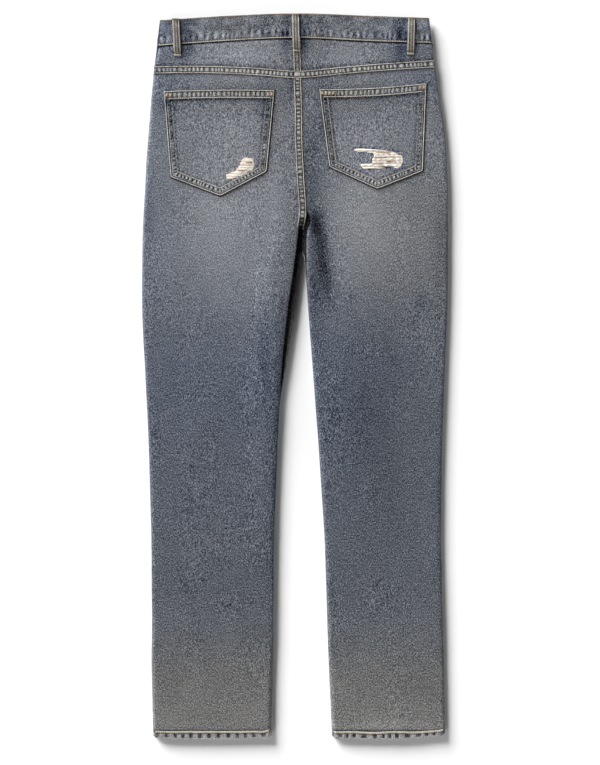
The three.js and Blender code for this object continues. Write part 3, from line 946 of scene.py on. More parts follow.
@dataclass
class Sheet:
    """A sheet of cloth made from a grid, laid in place, and given its thickness."""

    name: str
    slot: str
    across: Array
    along: Array
    wall: float
    facing: int = 1
    nodes: tuple[str, ...] = ()
    finish: Finish = Finish.DENIM

    def build(
        self,
        place: Callable[[Array, Array], Laid],
        hole: Field | None = None,
        smooth_edges: int = 0,
    ) -> Piece:
        """Makes the sheet.

        Args:
            place: gives the points for the columns' and rows' values.
            hole: says which points lie in a hole.
            smooth_edges: how many times a hole's edge is smoothed.

        Returns:
            The finished piece.
        """
        columns, rows = len(self.across) - 1, len(self.along) - 1
        mesh, u, v = grid_mesh(self.name, columns, rows, self.facing)
        i, j = np.rint(u * columns).astype(int), np.rint(v * rows).astype(int)
        lay(mesh, place(self.across[i], self.along[j]))
        if hole is not None:
            self._cut(mesh, hole, smooth_edges)
        mesh.update()
        mesh.materials.append(self.finish.material)
        mesh.materials.append(Finish.INSIDE.material)
        piece = new_piece(self.name, mesh, self.slot, self.nodes)
        solid = piece.modifiers.new("cloth_thickness", "SOLIDIFY")
        solid.thickness = self.wall * MM
        solid.offset = -1.0
        solid.material_offset = 1
        solid.material_offset_rim = 0
        return piece

    @staticmethod
    def _cut(mesh: bpy.types.Mesh, hole: Field, smooth_edges: int) -> None:
        """Takes out the faces in a hole and smooths its edge."""
        cut = bmesh.new()
        cut.from_mesh(mesh)
        centres = np.array([face.calc_center_median()[:2] for face in cut.faces]) / MM
        gone = hole(centres[:, 0], centres[:, 1])
        faces = [face for face, out in zip(cut.faces[:], gone) if out]
        outer = {vert for vert in cut.verts if vert.is_boundary}
        bmesh.ops.delete(cut, geom=faces, context="FACES")
        rim = [vert for vert in cut.verts if vert.is_boundary and vert not in outer]
        for _ in range(smooth_edges):
            bmesh.ops.smooth_vert(
                cut, verts=rim, factor=0.5, use_axis_x=True, use_axis_y=True, use_axis_z=True
            )
        cut.to_mesh(mesh)
        cut.free()


class Ground:
    """The surfaces that stitches and yarns lie on."""

    def __init__(self, *pieces: Piece) -> None:
        """Reads the pieces' outer sheets."""
        self.trees = []
        for piece in pieces:
            points = (mesh_points(piece.data) / MM).tolist()
            faces = [face.vertices[:] for face in piece.data.polygons]
            self.trees.append(BVHTree.FromPolygons(points, faces))

    def outside(self, x: float, y: float, facing: int = 1) -> tuple[Vector, Vector] | None:
        """The outermost point and its normal at a place, from above, or from below where facing is -1."""
        best = None
        start, way = Vector((x, y, 60.0 * facing)), Vector((0.0, 0.0, -facing))
        for tree in self.trees:
            point, normal, *_ = tree.ray_cast(start, way)
            if point is not None and (best is None or (point.z - best[0].z) * facing > 0):
                best = (point, normal if normal.z * facing > 0 else -normal)
        return best


# --- Panels ---


@dataclass
class Panel:
    """One of the garment's large panels: a wall of cloth whose outer edges roll over to the side seams."""

    name: str
    slot: str
    garment: Garment
    facing: int
    bottom: Line | float
    top: Line | float
    column_mm: float = 2.5
    row_mm: float = 3.0
    wall: float = DENIM_WALL
    proud: float = 0.0
    roll_columns: int = 7
    open_left: bool = False
    open_right: bool = False

    def __post_init__(self) -> None:
        """Reads the panel's own edges."""
        low, high = box_mm(self.name)
        self.shape = self.garment.shapes[self.name]
        short = high.y - low.y < 120
        self.left, self.right, self.seam = side_lines(self.shape, low.y, high.y, 4.0 if short else 14.0)
        self.redraw_crotch()
        self.width = high.x - low.x
        self.length = high.y - low.y

    def redraw_crotch(self) -> None:
        """Shapes the inner edges by the crotch: parted and sagging at the back, joined at the front below."""
        if self.name == "back_left":
            self.right = self.right.redrawn(LEFT_INSEAM, 40.0)
        elif self.name == "back_right":
            self.left = self.left.redrawn(RIGHT_INSEAM, 40.0)
        elif self.name == "front_left":
            self.right = self.right.redrawn(
                ((-60, -21), (20, -12), (100, 0), (160, 8.5), (190, 11.5), (260, 11.5)), 80.0,
            )
        elif self.name == "front_right":
            self.left = self.left.redrawn(((172, 19), (190, 11.5), (260, 11.5)), 16.0)

    def left_edge(self, y: Array) -> Array:
        """The left edge, which draws in under the waistband at the left hip."""
        tuck = 3.6 if self.name in ("front_left", "yoke_left") else 0.0
        slim = 1.7 if self.name in ("front_left", "back_left") else 0.0
        return self.left(y) + tuck * ease(y, 458, 500) + slim * ease(y, 330, 270) * ease(y, -440, -360)

    def inner_side(self) -> str:
        """Which of the panel's edges is the inside of the leg."""
        return "right" if abs(self.left.values.mean()) > abs(self.right.values.mean()) else "left"

    def roll(self, y: Array, side: str) -> tuple[Array, Array]:
        """Width of the rolled edge at a side, and how far it turns over, from 0 to 1."""
        if (side == "left" and self.open_left) or (side == "right" and self.open_right):
            return np.full_like(y, 3.0), np.zeros_like(y)
        if side != self.inner_side() or self.facing < 0 and self.length < 120:
            return np.full_like(y, SIDE_ROLL), np.ones_like(y)
        if self.facing < 0:
            return np.full_like(y, SIDE_ROLL), 1 - ease(y, 176, 190)
        soft = 25.0 if side == "right" else 5.0
        width = mix(SIDE_ROLL + 1.0, soft, ease(y, -60, 120)) * mix(1.0, 0.3, ease(y, 196, 236))
        return np.maximum(width, 4.0), 1 - ease(y, 241, 249)

    def across(self, column: Array, y: Array) -> tuple[Array, Array, Array]:
        """Distance across, turning angle and share of the roll, for columns at places along.

        A column's value runs from 0 to 1 in the left roll, to 2 across the panel and to 3 in the right roll.
        """
        left, right = self.left_edge(y), self.right(y)
        width_l, share_l = self.roll(y, "left")
        width_r, share_r = self.roll(y, "right")
        angle_l = np.clip(column, 0, 1) * math.pi / 2
        angle_r = np.clip(3 - column, 0, 1) * math.pi / 2
        flat = mix(left + width_l, right - width_r, np.clip(column - 1, 0, 1))
        in_left, in_right = column < 1, column > 2
        x = np.where(in_left, left + width_l * (1 - np.cos(angle_l)), flat)
        x = np.where(in_right, right - width_r * (1 - np.cos(angle_r)), x)
        angle = np.where(in_left, angle_l, np.where(in_right, angle_r, math.pi / 2))
        share = np.where(in_left, share_l, np.where(in_right, share_r, 0.0))
        return x, angle, share

    def edge(self, line: Line | float, x: Array) -> Array:
        """Place along of an edge that may be a line or one number."""
        return line(x) if isinstance(line, Line) else np.full_like(x, line)

    def outside(self, x: Array, y: Array) -> Array:
        """Height of the panel's outside away from its rolls."""
        surface = self.garment.back if self.facing > 0 else self.garment.front
        return surface(x, y) + self.proud * self.facing

    def place(self, column: Array, row: Array) -> Laid:
        """Where the panel's points lie."""
        y = mix(self.edge(self.bottom, column * 0), self.edge(self.top, column * 0), row)
        for _ in range(4):
            x, angle, share = self.across(column, y)
            y = mix(self.edge(self.bottom, x), self.edge(self.top, x), row)
        seam = self.seam(y)
        if self.name in ("front_left", "back_left"):
            seam = seam + 3.5 * ease(x, -80, -50) * ease(y, -470, -380)
        elif self.name in ("front_right", "back_right"):
            seam = seam + 1.5 * ease(x, 120, 180) * ease(y, -470, -380)
        z = mix(self.outside(x, y), seam + (self.outside(x, y) - seam) * np.sin(angle), share)
        return Laid(x, y, z, self.tone(x, y), self.blue(x, y))

    def tone(self, x: Array, y: Array) -> Array:
        """Lightness of the dye; on the front, with painted shade in the crotch's gap."""
        if self.facing > 0:
            pinch = np.clip(Pucker(83, 7.0)(x), 0, 1) * bell(y - box_mm("hem_left")[1].y - 2.6, 2.2)
            return self.garment.dye(x, y) - 0.14 * pinch
        # Painted shade: the front's cloth seen in the crotch's gap is darkened, and so is a rim along the
        # left front's inner edge.
        crotch_shade = ease(x, 30, 10) * ease(x, -60, -30) * ease(y, -20, 100) * ease(y, 262, 244)
        rim = ease(self.right(y) - x, 5.0, 0.0) * ease(y, -20, 60) if self.name == "front_left" else 0.0
        crotch_shade = crotch_shade * ease(y, 40, 180)
        return self.garment.wash_and_shade.tone(x, y) - 0.01 - 0.24 * crotch_shade - 0.2 * rim

    def blue(self, x: Array, y: Array) -> Array:
        """Tint of the dye, turned grey where the front shows in the crotch's gap, as painted shade."""
        depth = ease(x, 30, 10) * ease(x, -60, -30) * ease(y, -60, 40) * ease(y, 262, 244)
        return self.garment.wash_and_shade.blue(x, y) * (1 - 0.9 * depth * (self.facing < 0))

    def build(self, hole: Field | None = None, smooth: int = 0) -> Piece:
        """Makes the panel, with a hole in it where one is given."""
        turns = np.arange(self.roll_columns) / self.roll_columns
        flat = np.linspace(1, 2, max(int(self.width / self.column_mm), 4) + 1)
        columns = np.concatenate([turns, flat, 2 + turns[1:], [3.0]])
        rows = np.linspace(0, 1, max(int(self.length / self.row_mm), 3) + 1)
        name = self.name + "_cloth"
        sheet = Sheet(name, self.slot, columns, rows, self.wall, self.facing, (self.name,))
        return sheet.build(self.place, hole, smooth)


@dataclass
class BandPanel(Panel):
    """A piece of the waistband: puckered along its lower edge and rubbed brown along its top."""

    seed: int = 31
    puckers: float = 0.45

    def outside(self, x: Array, y: Array) -> Array:
        """Height of the band's outside, with its gathers and its folded edges."""
        base = super().outside(x, y)
        if self.facing < 0:
            base = self.own_heights(x, y)
        rise = y - self.edge(self.bottom, x)
        drop = self.edge(self.top, x) - y
        gather = Pucker(self.seed, 9.4)(x) * bell(rise - 8.5, 5.5) * self.puckers
        gather = gather + Pucker(self.seed + 7, 6.4)(x) * bell(rise - 5.5, 3.0) * self.puckers * 0.6
        gather = gather + Mottle(9, 9, self.seed + 2)(x, y) * 0.2
        channel = 0.35 * bell(rise - 2.5, 0.7) + 0.25 * bell(drop - 1.6, 0.7)
        edges = 0.8 * (1 - ease(rise, 0, 1.2)) + 0.8 * (1 - ease(drop, 0, 1.4))
        return base + self.facing * (gather - channel - edges)

    def own_heights(self, x: Array, y: Array) -> Array:
        """Height of this piece's own CAD outside, which differs from its neighbours' where ends overlap."""
        if not hasattr(self, "_own"):
            self._own = Heights(self.shape, False, 4.0, 1.2)
        return self._own(x, y)

    def tone(self, x: Array, y: Array) -> Array:
        """Lightness of the dye, light on the gathers and dark between them."""
        tone = super().tone(x, y)
        rise = y - self.edge(self.bottom, x)
        drop = self.edge(self.top, x) - y
        gather = np.clip(1.4 * Pucker(self.seed, 9.4)(x), -1, 1) * bell(rise - 9.0, 5.0)
        small = Pucker(self.seed + 7, 6.4)(x) * bell(rise - 6.0, 3.0)
        blotch = Mottle(14, 9, self.seed + 4)(x, y) + 0.8 * Mottle(6, 6, self.seed + 5)(x, y)
        tone = tone + 0.16 * gather + 0.1 * small + 0.075 * blotch + 0.04 * bell(rise - 9, 5)
        tone = tone + 0.3 * bell(rise - 0.9, 0.8) - 0.2 * bell(rise - 2.6, 0.7)
        return tone - 0.2 * bell(drop, 0.9) - 0.06 * bell(drop - 2.4, 1.0)

    def blue(self, x: Array, y: Array) -> Array:
        """Tint of the dye, tan at the folded edges."""
        rise = y - self.edge(self.bottom, x)
        drop = self.edge(self.top, x) - y
        return super().blue(x, y) - 0.06 * bell(rise - 1.4, 1.5) - 0.09 * bell(drop, 1.6)


@dataclass
class YokePanel(Panel):
    """A yoke: painted shadow under the waistband and painted shade along the seam below, a faint painted
    highlight below the band, pale between.
    """

    def tone(self, x: Array, y: Array) -> Array:
        """Lightness of the dye, with painted shade and a painted highlight."""
        rise = y - self.edge(self.bottom, x)
        drop = self.edge(self.top, x) - y
        shade_blotch = 0.5 + 0.5 * Mottle(7, 30, 71)(x, y)
        small = Pucker(73)(x) * bell(rise - 4.0, 3.0)
        # Painted shadow just under the waistband, painted shade in blotches above the felled seam and at its
        # edge, and a faint painted highlight below the band's shadow.
        tone = super().tone(x, y) - 0.36 * (1 - ease(drop, 1.3, 2.6)) - 0.2 * shade_blotch * bell(rise - 2.4, 2.6)
        return tone + 0.06 * small + 0.05 * bell(drop - 4.4, 1.6) - 0.2 * (1 - ease(rise, 0.4, 1.2))


class Panels:
    """The back panels, yokes, fronts and waistband."""

    def __init__(self, garment: Garment) -> None:
        """Sets out the panels."""
        self.garment = garment
        self.pieces: dict[str, Piece] = {}
        self.panels: dict[str, Panel] = {}

    def _add(self, panel: Panel, hole: Field | None = None, smooth: int = 0) -> Piece:
        """Builds one panel and keeps it by name."""
        piece = panel.build(hole, smooth)
        self.pieces[panel.name] = piece
        self.panels[panel.name] = panel
        log.info("%s: %d points", piece.name, len(piece.data.vertices))
        return piece

    def build(self) -> None:
        """Makes every panel."""
        garment = self.garment
        coarse = 2.95
        for side in ("left", "right"):
            low, _ = box_mm(f"back_{side}")
            self._add(Panel(
                f"back_{side}", "denim", garment, 1, low.y - 0.3, garment.yoke_seam,
                column_mm=coarse, row_mm=coarse * 1.15,
            ))
            self._add(YokePanel(
                f"yoke_{side}", "worn_denim", garment, 1, garment.yoke_seam, garment.waist_seam,
                column_mm=1.6, row_mm=1.1, open_left=side == "right", open_right=side == "left",
            ))
        self._add(BandPanel(
            "waistband_back", "worn_denim", garment, 1, garment.waist_seam, garment.waist_top,
            column_mm=1.3, row_mm=1.1, wall=BAND_WALL, proud=0.5,
        ))
        self._fronts()

    def _fronts(self) -> None:
        """Makes the hidden front: its panels, their facings and the waistband's ends."""
        garment = self.garment
        for side in ("left", "right"):
            band = garment.shapes[f"waistband_front_{side}"]
            lower, upper = level_line(band, True, 6.0), level_line(band, False, 12.0)
            low, _ = box_mm(f"front_{side}")
            scoop = Scoop(garment, side)
            seam = Line(lower.places, lower.values - 0.2)
            self._add(Panel(
                f"front_{side}", "denim", garment, -1, low.y - 0.3, seam, column_mm=5.0, row_mm=6.0,
            ), scoop.inside, 3)
            self._facing(side, scoop)
            self._add(BandPanel(
                f"waistband_front_{side}", "worn_denim", garment, -1, lower, upper,
                column_mm=2.5, row_mm=2.0, wall=BAND_WALL, seed=61, puckers=0.3,
                open_right=side == "left", open_left=side == "right",
            ))

    def _facing(self, side: str, scoop: "Scoop") -> None:
        """Makes the denim seen in a front pocket's mouth, a quarter-round sheet behind its edge."""
        name = f"hip_facing_{side}"
        panel = self.panels[f"front_{side}"]
        steps = np.linspace(0, 1, 40)

        def place(u: Array, v: Array) -> Laid:
            """Where the facing's points lie."""
            y = scoop.y - v * np.sqrt(1 - u * u / 2) * (scoop.depth + 7)
            gap = u * np.sqrt(1 - v * v / 2) * (scoop.width + 7) + 0.5
            x = panel.left_edge(y) + gap if side == "left" else panel.right(y) - gap
            angle = np.arccos(1 - np.clip(gap / SIDE_ROLL, 0, 1))
            seam = panel.seam(y)
            z = seam + (self.garment.front(x, y) - seam) * np.sin(angle) + 1.35
            return Laid(x, y, z, self.garment.wash_and_shade.tone(x, y) - 0.06, self.garment.wash_and_shade.blue(x, y))

        facing = -1 if side == "left" else 1
        sheet = Sheet(name + "_cloth", "denim", steps, steps, 0.8, facing, (name,))
        self.pieces[name] = sheet.build(place)


class Scoop:
    """The curved mouth of a front hip pocket."""

    def __init__(self, garment: Garment, side: str) -> None:
        """Reads the mouth from its facing's box."""
        low, high = box_mm(f"hip_facing_{side}")
        self.sign = -1 if side == "left" else 1
        outer = garment.shapes[f"waistband_front_{side}"].triangles[..., 0]
        self.x = outer.min() if side == "left" else outer.max()
        inner = high.x if side == "left" else low.x
        self.y = high.y
        self.width = abs(inner - self.x)
        self.depth = high.y - low.y

    def inside(self, x: Array, y: Array) -> Array:
        """Which points lie within the mouth."""
        return np.hypot((x - self.x) / self.width, (y - self.y) / self.depth) < 1

    def rim(self, out: float, count: int = 60) -> Array:
        """Points along the mouth's edge, a distance outside it."""
        turn = np.linspace(math.radians(4), math.radians(84), count)
        x = self.x - self.sign * (self.width + out) * np.cos(turn)
        return np.stack([x, self.y - (self.depth + out) * np.sin(turn)], 1)


# --- Felled seams ---


def resampled(path: Array, step: float) -> tuple[Array, Array]:
    """Evenly spaced points on a path.

    Args:
        path: points, two numbers each.
        step: spacing in millimetres.

    Returns:
        The points and their distances along the path.
    """
    lengths = np.concatenate([[0], np.cumsum(np.hypot(*np.diff(path, axis=0).T))])
    places = np.linspace(0, lengths[-1], max(int(lengths[-1] / step), 1) + 1)
    return np.stack([np.interp(places, lengths, path[:, k]) for k in (0, 1)], 1), places


@dataclass
class FelledSeam:
    """A flat felled seam: a raised band of folded cloth between two rows of stitches, gathered by washing."""

    name: str
    slot: str
    garment: Garment
    path: Array
    width: float = FELL_WIDTH
    height: float = 0.95
    seed: int = 1
    facing: int = 1
    step: float = 0.8
    contrast: float = 0.21
    row_inset: float = 1.0
    dives: bool = False
    # lean paints one side of the band lighter and the other darker, as the light falls across it.
    lean: float = 0.0

    def build(self) -> Piece:
        """Makes the band."""
        centre, places, sideways = self.middle(self.step)
        half = self.width / 2
        inner = np.linspace(-half + 0.8, half - 0.8, 17)
        offsets = np.concatenate([[-half - 0.5, -half, -half + 0.4], inner, [half - 0.4, half, half + 0.5]])

        def place(offset: Array, row: Array) -> Laid:
            """Where the band's points lie."""
            k = row.astype(int)
            x = centre[k, 0] + sideways[k, 0] * offset
            y = centre[k, 1] + sideways[k, 1] * offset
            base = self.garment.back(x, y) if self.facing > 0 else self.garment.front(x, y)
            bump = self.relief(offset, places[k])
            tone = self.garment.dye(x, y) + self.shade(offset, places[k])
            # Where the seam dives into the crotch: pale at its end, then painted shade below it.
            if self.dives:
                base = base - 8.3 * ease(y, 240, 222) ** 1.4
                tone = tone + 0.14 * bell(y - 243, 3.0) - 0.2 * ease(y, 240, 234)
            blue = self.garment.wash_and_shade.blue(x, y) + self.edge().tint(self.mirrored(offset))
            return Laid(x, y, base + self.facing * bump, tone, blue)

        rows = np.arange(len(centre), dtype=float)
        return Sheet(self.name, self.slot, offsets, rows, 0.9, self.facing).build(place)

    def middle(self, step: float) -> tuple[Array, Array, Array]:
        """Points along the band's middle, their distances along it, and the way across it at each."""
        centre, places = resampled(self.path, step)
        way = np.gradient(centre, axis=0)
        way /= np.hypot(*way.T)[:, None]
        return centre, places, np.stack([way[:, 1], -way[:, 0]], 1)

    def edge(self) -> SewnEdge:
        """The band's section, seen from either of its edges."""
        return SewnEdge(self.width, Pucker(self.seed), self.contrast, 0.2, 0.0, 0.0)

    def mirrored(self, offset: Array) -> Array:
        """Distance inside the nearer edge."""
        return self.width / 2 - np.abs(offset)

    def relief(self, offset: Array, place: Array) -> Array:
        """How far the band stands out of the panel."""
        near = self.mirrored(offset)
        body = self.height * ease(near, -0.4, 0.9) - 0.25 * (1 - ease(near, -0.5, 0.2))
        return body + self.edge().relief(near, place)

    def shade(self, offset: Array, place: Array) -> Array:
        """Change in lightness across the band: worn gathers, with painted shade in its grooves and at its
        edges, and a painted lit side where it leans.
        """
        near = self.mirrored(offset)
        lit = self.lean * np.sign(offset) * 0.06
        return self.edge().shade(near, place) + lit * bell(near - 1, 1) - 0.26 * (1 - ease(near, -0.1, 0.45))

    def rows(self) -> tuple[Array, Array]:
        """The paths of the two rows of stitches."""
        centre, _, sideways = self.middle(2.0)
        sideways = sideways * (self.width / 2 - self.row_inset)
        return centre - sideways, centre + sideways


# --- Stitches and yarns ---


class Bundle:
    """Many small copies of one shape, joined in one mesh."""

    def __init__(self, name: str, slot: str, material: bpy.types.Material) -> None:
        """Starts an empty bundle."""
        self.name = name
        self.slot = slot
        self.material = material
        self.points: list[Array] = []
        self.faces: list[Array] = []
        self.shades: list[Array] = []
        self.count = 0

    def add(self, points: Array, faces: Sequence[Sequence[int]], shade: float) -> None:
        """Adds one copy, whose points are in place in millimetres."""
        self.points.append(points)
        self.faces.extend([[corner + self.count for corner in face] for face in faces])
        self.shades.append(np.full(len(points), shade))
        self.count += len(points)

    def build(self, nodes: Sequence[str] = ()) -> Piece:
        """Makes the joined piece."""
        mesh = bpy.data.meshes.new(self.name)
        mesh.from_pydata((np.concatenate(self.points) * MM).tolist(), [], self.faces)
        store(mesh, "shade", np.concatenate(self.shades))
        mesh.materials.append(self.material)
        log.info("%s: %d faces", self.name, len(mesh.polygons))
        return new_piece(self.name, mesh, self.slot, nodes)


def unit_shape(make: Callable[[bmesh.types.BMesh], None]) -> tuple[Array, list[list[int]]]:
    """The points and faces of a small shape made by bmesh operators."""
    shape = bmesh.new()
    make(shape)
    shape.verts.ensure_lookup_table()
    points = np.array([vert.co[:] for vert in shape.verts])
    faces = [[vert.index for vert in face.verts] for face in shape.faces]
    shape.free()
    return points, faces


def rice_grain(shape: bmesh.types.BMesh) -> None:
    """A stitch: a rounded grain one long, one wide and one high."""
    bmesh.ops.create_uvsphere(shape, u_segments=6, v_segments=6, radius=0.5)
    bmesh.ops.rotate(shape, verts=shape.verts, matrix=turn_to_x())


def turn_to_x() -> Matrix:
    """The turn that lays the Z axis along X."""
    return Matrix.Rotation(math.radians(90), 3, "Y")


def yarn_tube(shape: bmesh.types.BMesh) -> None:
    """A yarn: a six-sided tube one long, in 18 lengths, closed at its ends."""
    made = bmesh.ops.create_circle(shape, cap_ends=True, segments=6, radius=0.5)
    bmesh.ops.rotate(shape, verts=made["verts"], matrix=turn_to_x())
    face = shape.faces[:][0]
    for _ in range(18):
        ring = bmesh.ops.extrude_face_region(shape, geom=[face])["geom"]
        verts = [item for item in ring if isinstance(item, bmesh.types.BMVert)]
        face = next(item for item in ring if isinstance(item, bmesh.types.BMFace))
        bmesh.ops.translate(shape, verts=verts, vec=(1 / 18, 0, 0))
    bmesh.ops.recalc_face_normals(shape, faces=shape.faces[:])


class Stitching:
    """Sewn rows, bartacks and zigzags, laid on the finished cloth."""

    def __init__(self, name: str, ground: Ground, facing: int = 1) -> None:
        """Starts an empty bundle of stitches on a ground."""
        self.bundle = Bundle(name, "denim", Finish.THREAD.material)
        self.ground = ground
        self.facing = facing
        self.unit, self.faces = unit_shape(rice_grain)
        self.chance = np.random.default_rng(len(name) * 17 + 3)

    def stitch(self, start: Array, end: Array, width: float, rise: float, shade: float) -> None:
        """Lays one stitch between two points on the cloth."""
        middle = (start + end) / 2
        hits = [self.ground.outside(p[0], p[1], self.facing) for p in (start, middle, end)]
        if any(hit is None for hit in hits):
            return
        along = np.array(hits[2][0] - hits[0][0])
        length = np.linalg.norm(along)
        up = np.array(hits[1][1]) + np.array((0.0, 0.0, 1.2 * self.facing))
        along /= max(length, 1e-6)
        up -= along * up.dot(along)
        up /= np.linalg.norm(up)
        side = np.cross(up, along)
        base = (np.array(hits[0][0]) + np.array(hits[2][0]) + np.array(hits[1][0]) * 2) / 4
        scale = self.unit * np.array((length, width, width * 0.8))
        points = base + up * rise + scale[:, :1] * along + scale[:, 1:2] * side + scale[:, 2:] * up
        if self.facing < 0:
            points[:, 2] = np.maximum(points[:, 2], 0.05)
        self.bundle.add(points, self.faces, shade)

    def row(
        self,
        path: Array,
        shade: float = 0.75,
        pitch: float = STITCH_PITCH,
        width: float = THREAD_WIDTH,
        fill: float = 0.92,
        spread: float = 0.16,
    ) -> None:
        """Sews a row along a path.

        Args:
            path: points across and along.
            shade: mean shade of the thread.
            pitch: spacing of the stitches.
            width: the thread's width.
            fill: length of a stitch as a share of the pitch.
            spread: how much the shade varies.
        """
        points, _ = resampled(path, pitch)
        drift = Wander(9.0, int(self.chance.integers(1000)))(np.arange(len(points)))
        for k, (start, end) in enumerate(zip(points[:-1], points[1:])):
            gap = (end - start) * (1 - fill) / 2
            wobble = self.chance.normal(0, 0.09, 2)
            tint = shade + spread * drift[k] + self.chance.normal(0, spread * 0.6)
            tint = float(np.clip(tint, 0, 1))
            self.stitch(start + gap + wobble, end - gap + wobble, width, width * 0.16, tint)

    def bartack(
        self,
        centre: tuple[float, float],
        size: tuple[float, float],
        turn: float,
        shade: float,
        spread: float = 0.16,
    ) -> None:
        """Sews a block of close crosswise stitches.

        Args:
            centre: its middle.
            size: its length, across which the stitches stand side by side, and its width.
            turn: the angle of its length, in degrees.
            shade: mean shade of the thread.
            spread: how much the shade varies.
        """
        c, s = math.cos(math.radians(turn)), math.sin(math.radians(turn))
        way, side = np.array((c, s)), np.array((-s, c))
        count = max(int(size[0] / 0.85), 2)
        for k in range(count):
            at = np.array(centre) + way * size[0] * ((k + 0.5) / count - 0.5)
            reach = size[1] / 2 * (1 + self.chance.normal(0, 0.06))
            lean = way * self.chance.normal(0.25, 0.25)
            tint = float(np.clip(shade + self.chance.normal(0, spread), 0, 1))
            self.stitch(at - side * reach - lean, at + side * reach + lean, 1.0, 0.3, tint)

    def build(self) -> Piece:
        """Makes the joined stitches."""
        return self.bundle.build()


# --- Patch pockets and their tears ---


class Tear:
    """A torn place in a pocket, whose outline is that of its CAD weft."""

    def __init__(self, garment: Garment, side: str, pitch: float = 0.6) -> None:
        """Reads which points of a fine grid lie in the tear."""
        node = f"rip_weft_{side}"
        shape = garment.shapes[node]
        low, high = box_mm(node)
        self.node = node
        self.pitch = pitch
        self.low = np.array((low.x - 12, low.y - 12))
        self.size = np.array((high.x - low.x + 24, high.y - low.y + 24))
        count = (self.size / pitch).astype(int) + 1
        inside = np.zeros(count)
        for i in range(count[0]):
            for j in range(count[1]):
                at = self.low + np.array((i, j)) * pitch
                inside[i, j] = shape.top(at[0], at[1]) is not None
        self.mask = inside
        self.near = Heights._spread(inside, 1.0 / pitch)
        self.halo = Heights._spread(inside, 3.4 / pitch)

    def _read(self, values: Array, x: Array, y: Array) -> Array:
        """Value of a field at each point, 0 beyond it."""
        i = np.rint((np.asarray(x) - self.low[0]) / self.pitch).astype(int)
        j = np.rint((np.asarray(y) - self.low[1]) / self.pitch).astype(int)
        known = (i >= 0) & (j >= 0) & (i < values.shape[0]) & (j < values.shape[1])
        i, j = np.clip(i, 0, values.shape[0] - 1), np.clip(j, 0, values.shape[1] - 1)
        return np.where(known, values[i, j], 0.0)

    def inside(self, x: Array, y: Array) -> Array:
        """Which points lie in the hole, with its frayed outline."""
        return self._read(self.near, x, y) + 0.16 * Mottle(1.6, 1.3, 77)(x, y) > 0.5

    def closeness(self, x: Array, y: Array) -> Array:
        """How close each point is to the hole, from 0 to 1."""
        return self._read(self.halo, x, y)

    def runs(self, y: float) -> list[tuple[float, float]]:
        """The stretches across the hole at a place along."""
        j = int(round((y - self.low[1]) / self.pitch))
        if not 0 <= j < self.mask.shape[1]:
            return []
        row = np.concatenate([[0], self.mask[:, j], [0]])
        starts, ends = np.flatnonzero(np.diff(row) > 0), np.flatnonzero(np.diff(row) < 0)
        pairs = [(a, b) for a, b in zip(starts, ends) if b - a > 5]
        return [(self.low[0] + a * self.pitch, self.low[0] + b * self.pitch) for a, b in pairs]


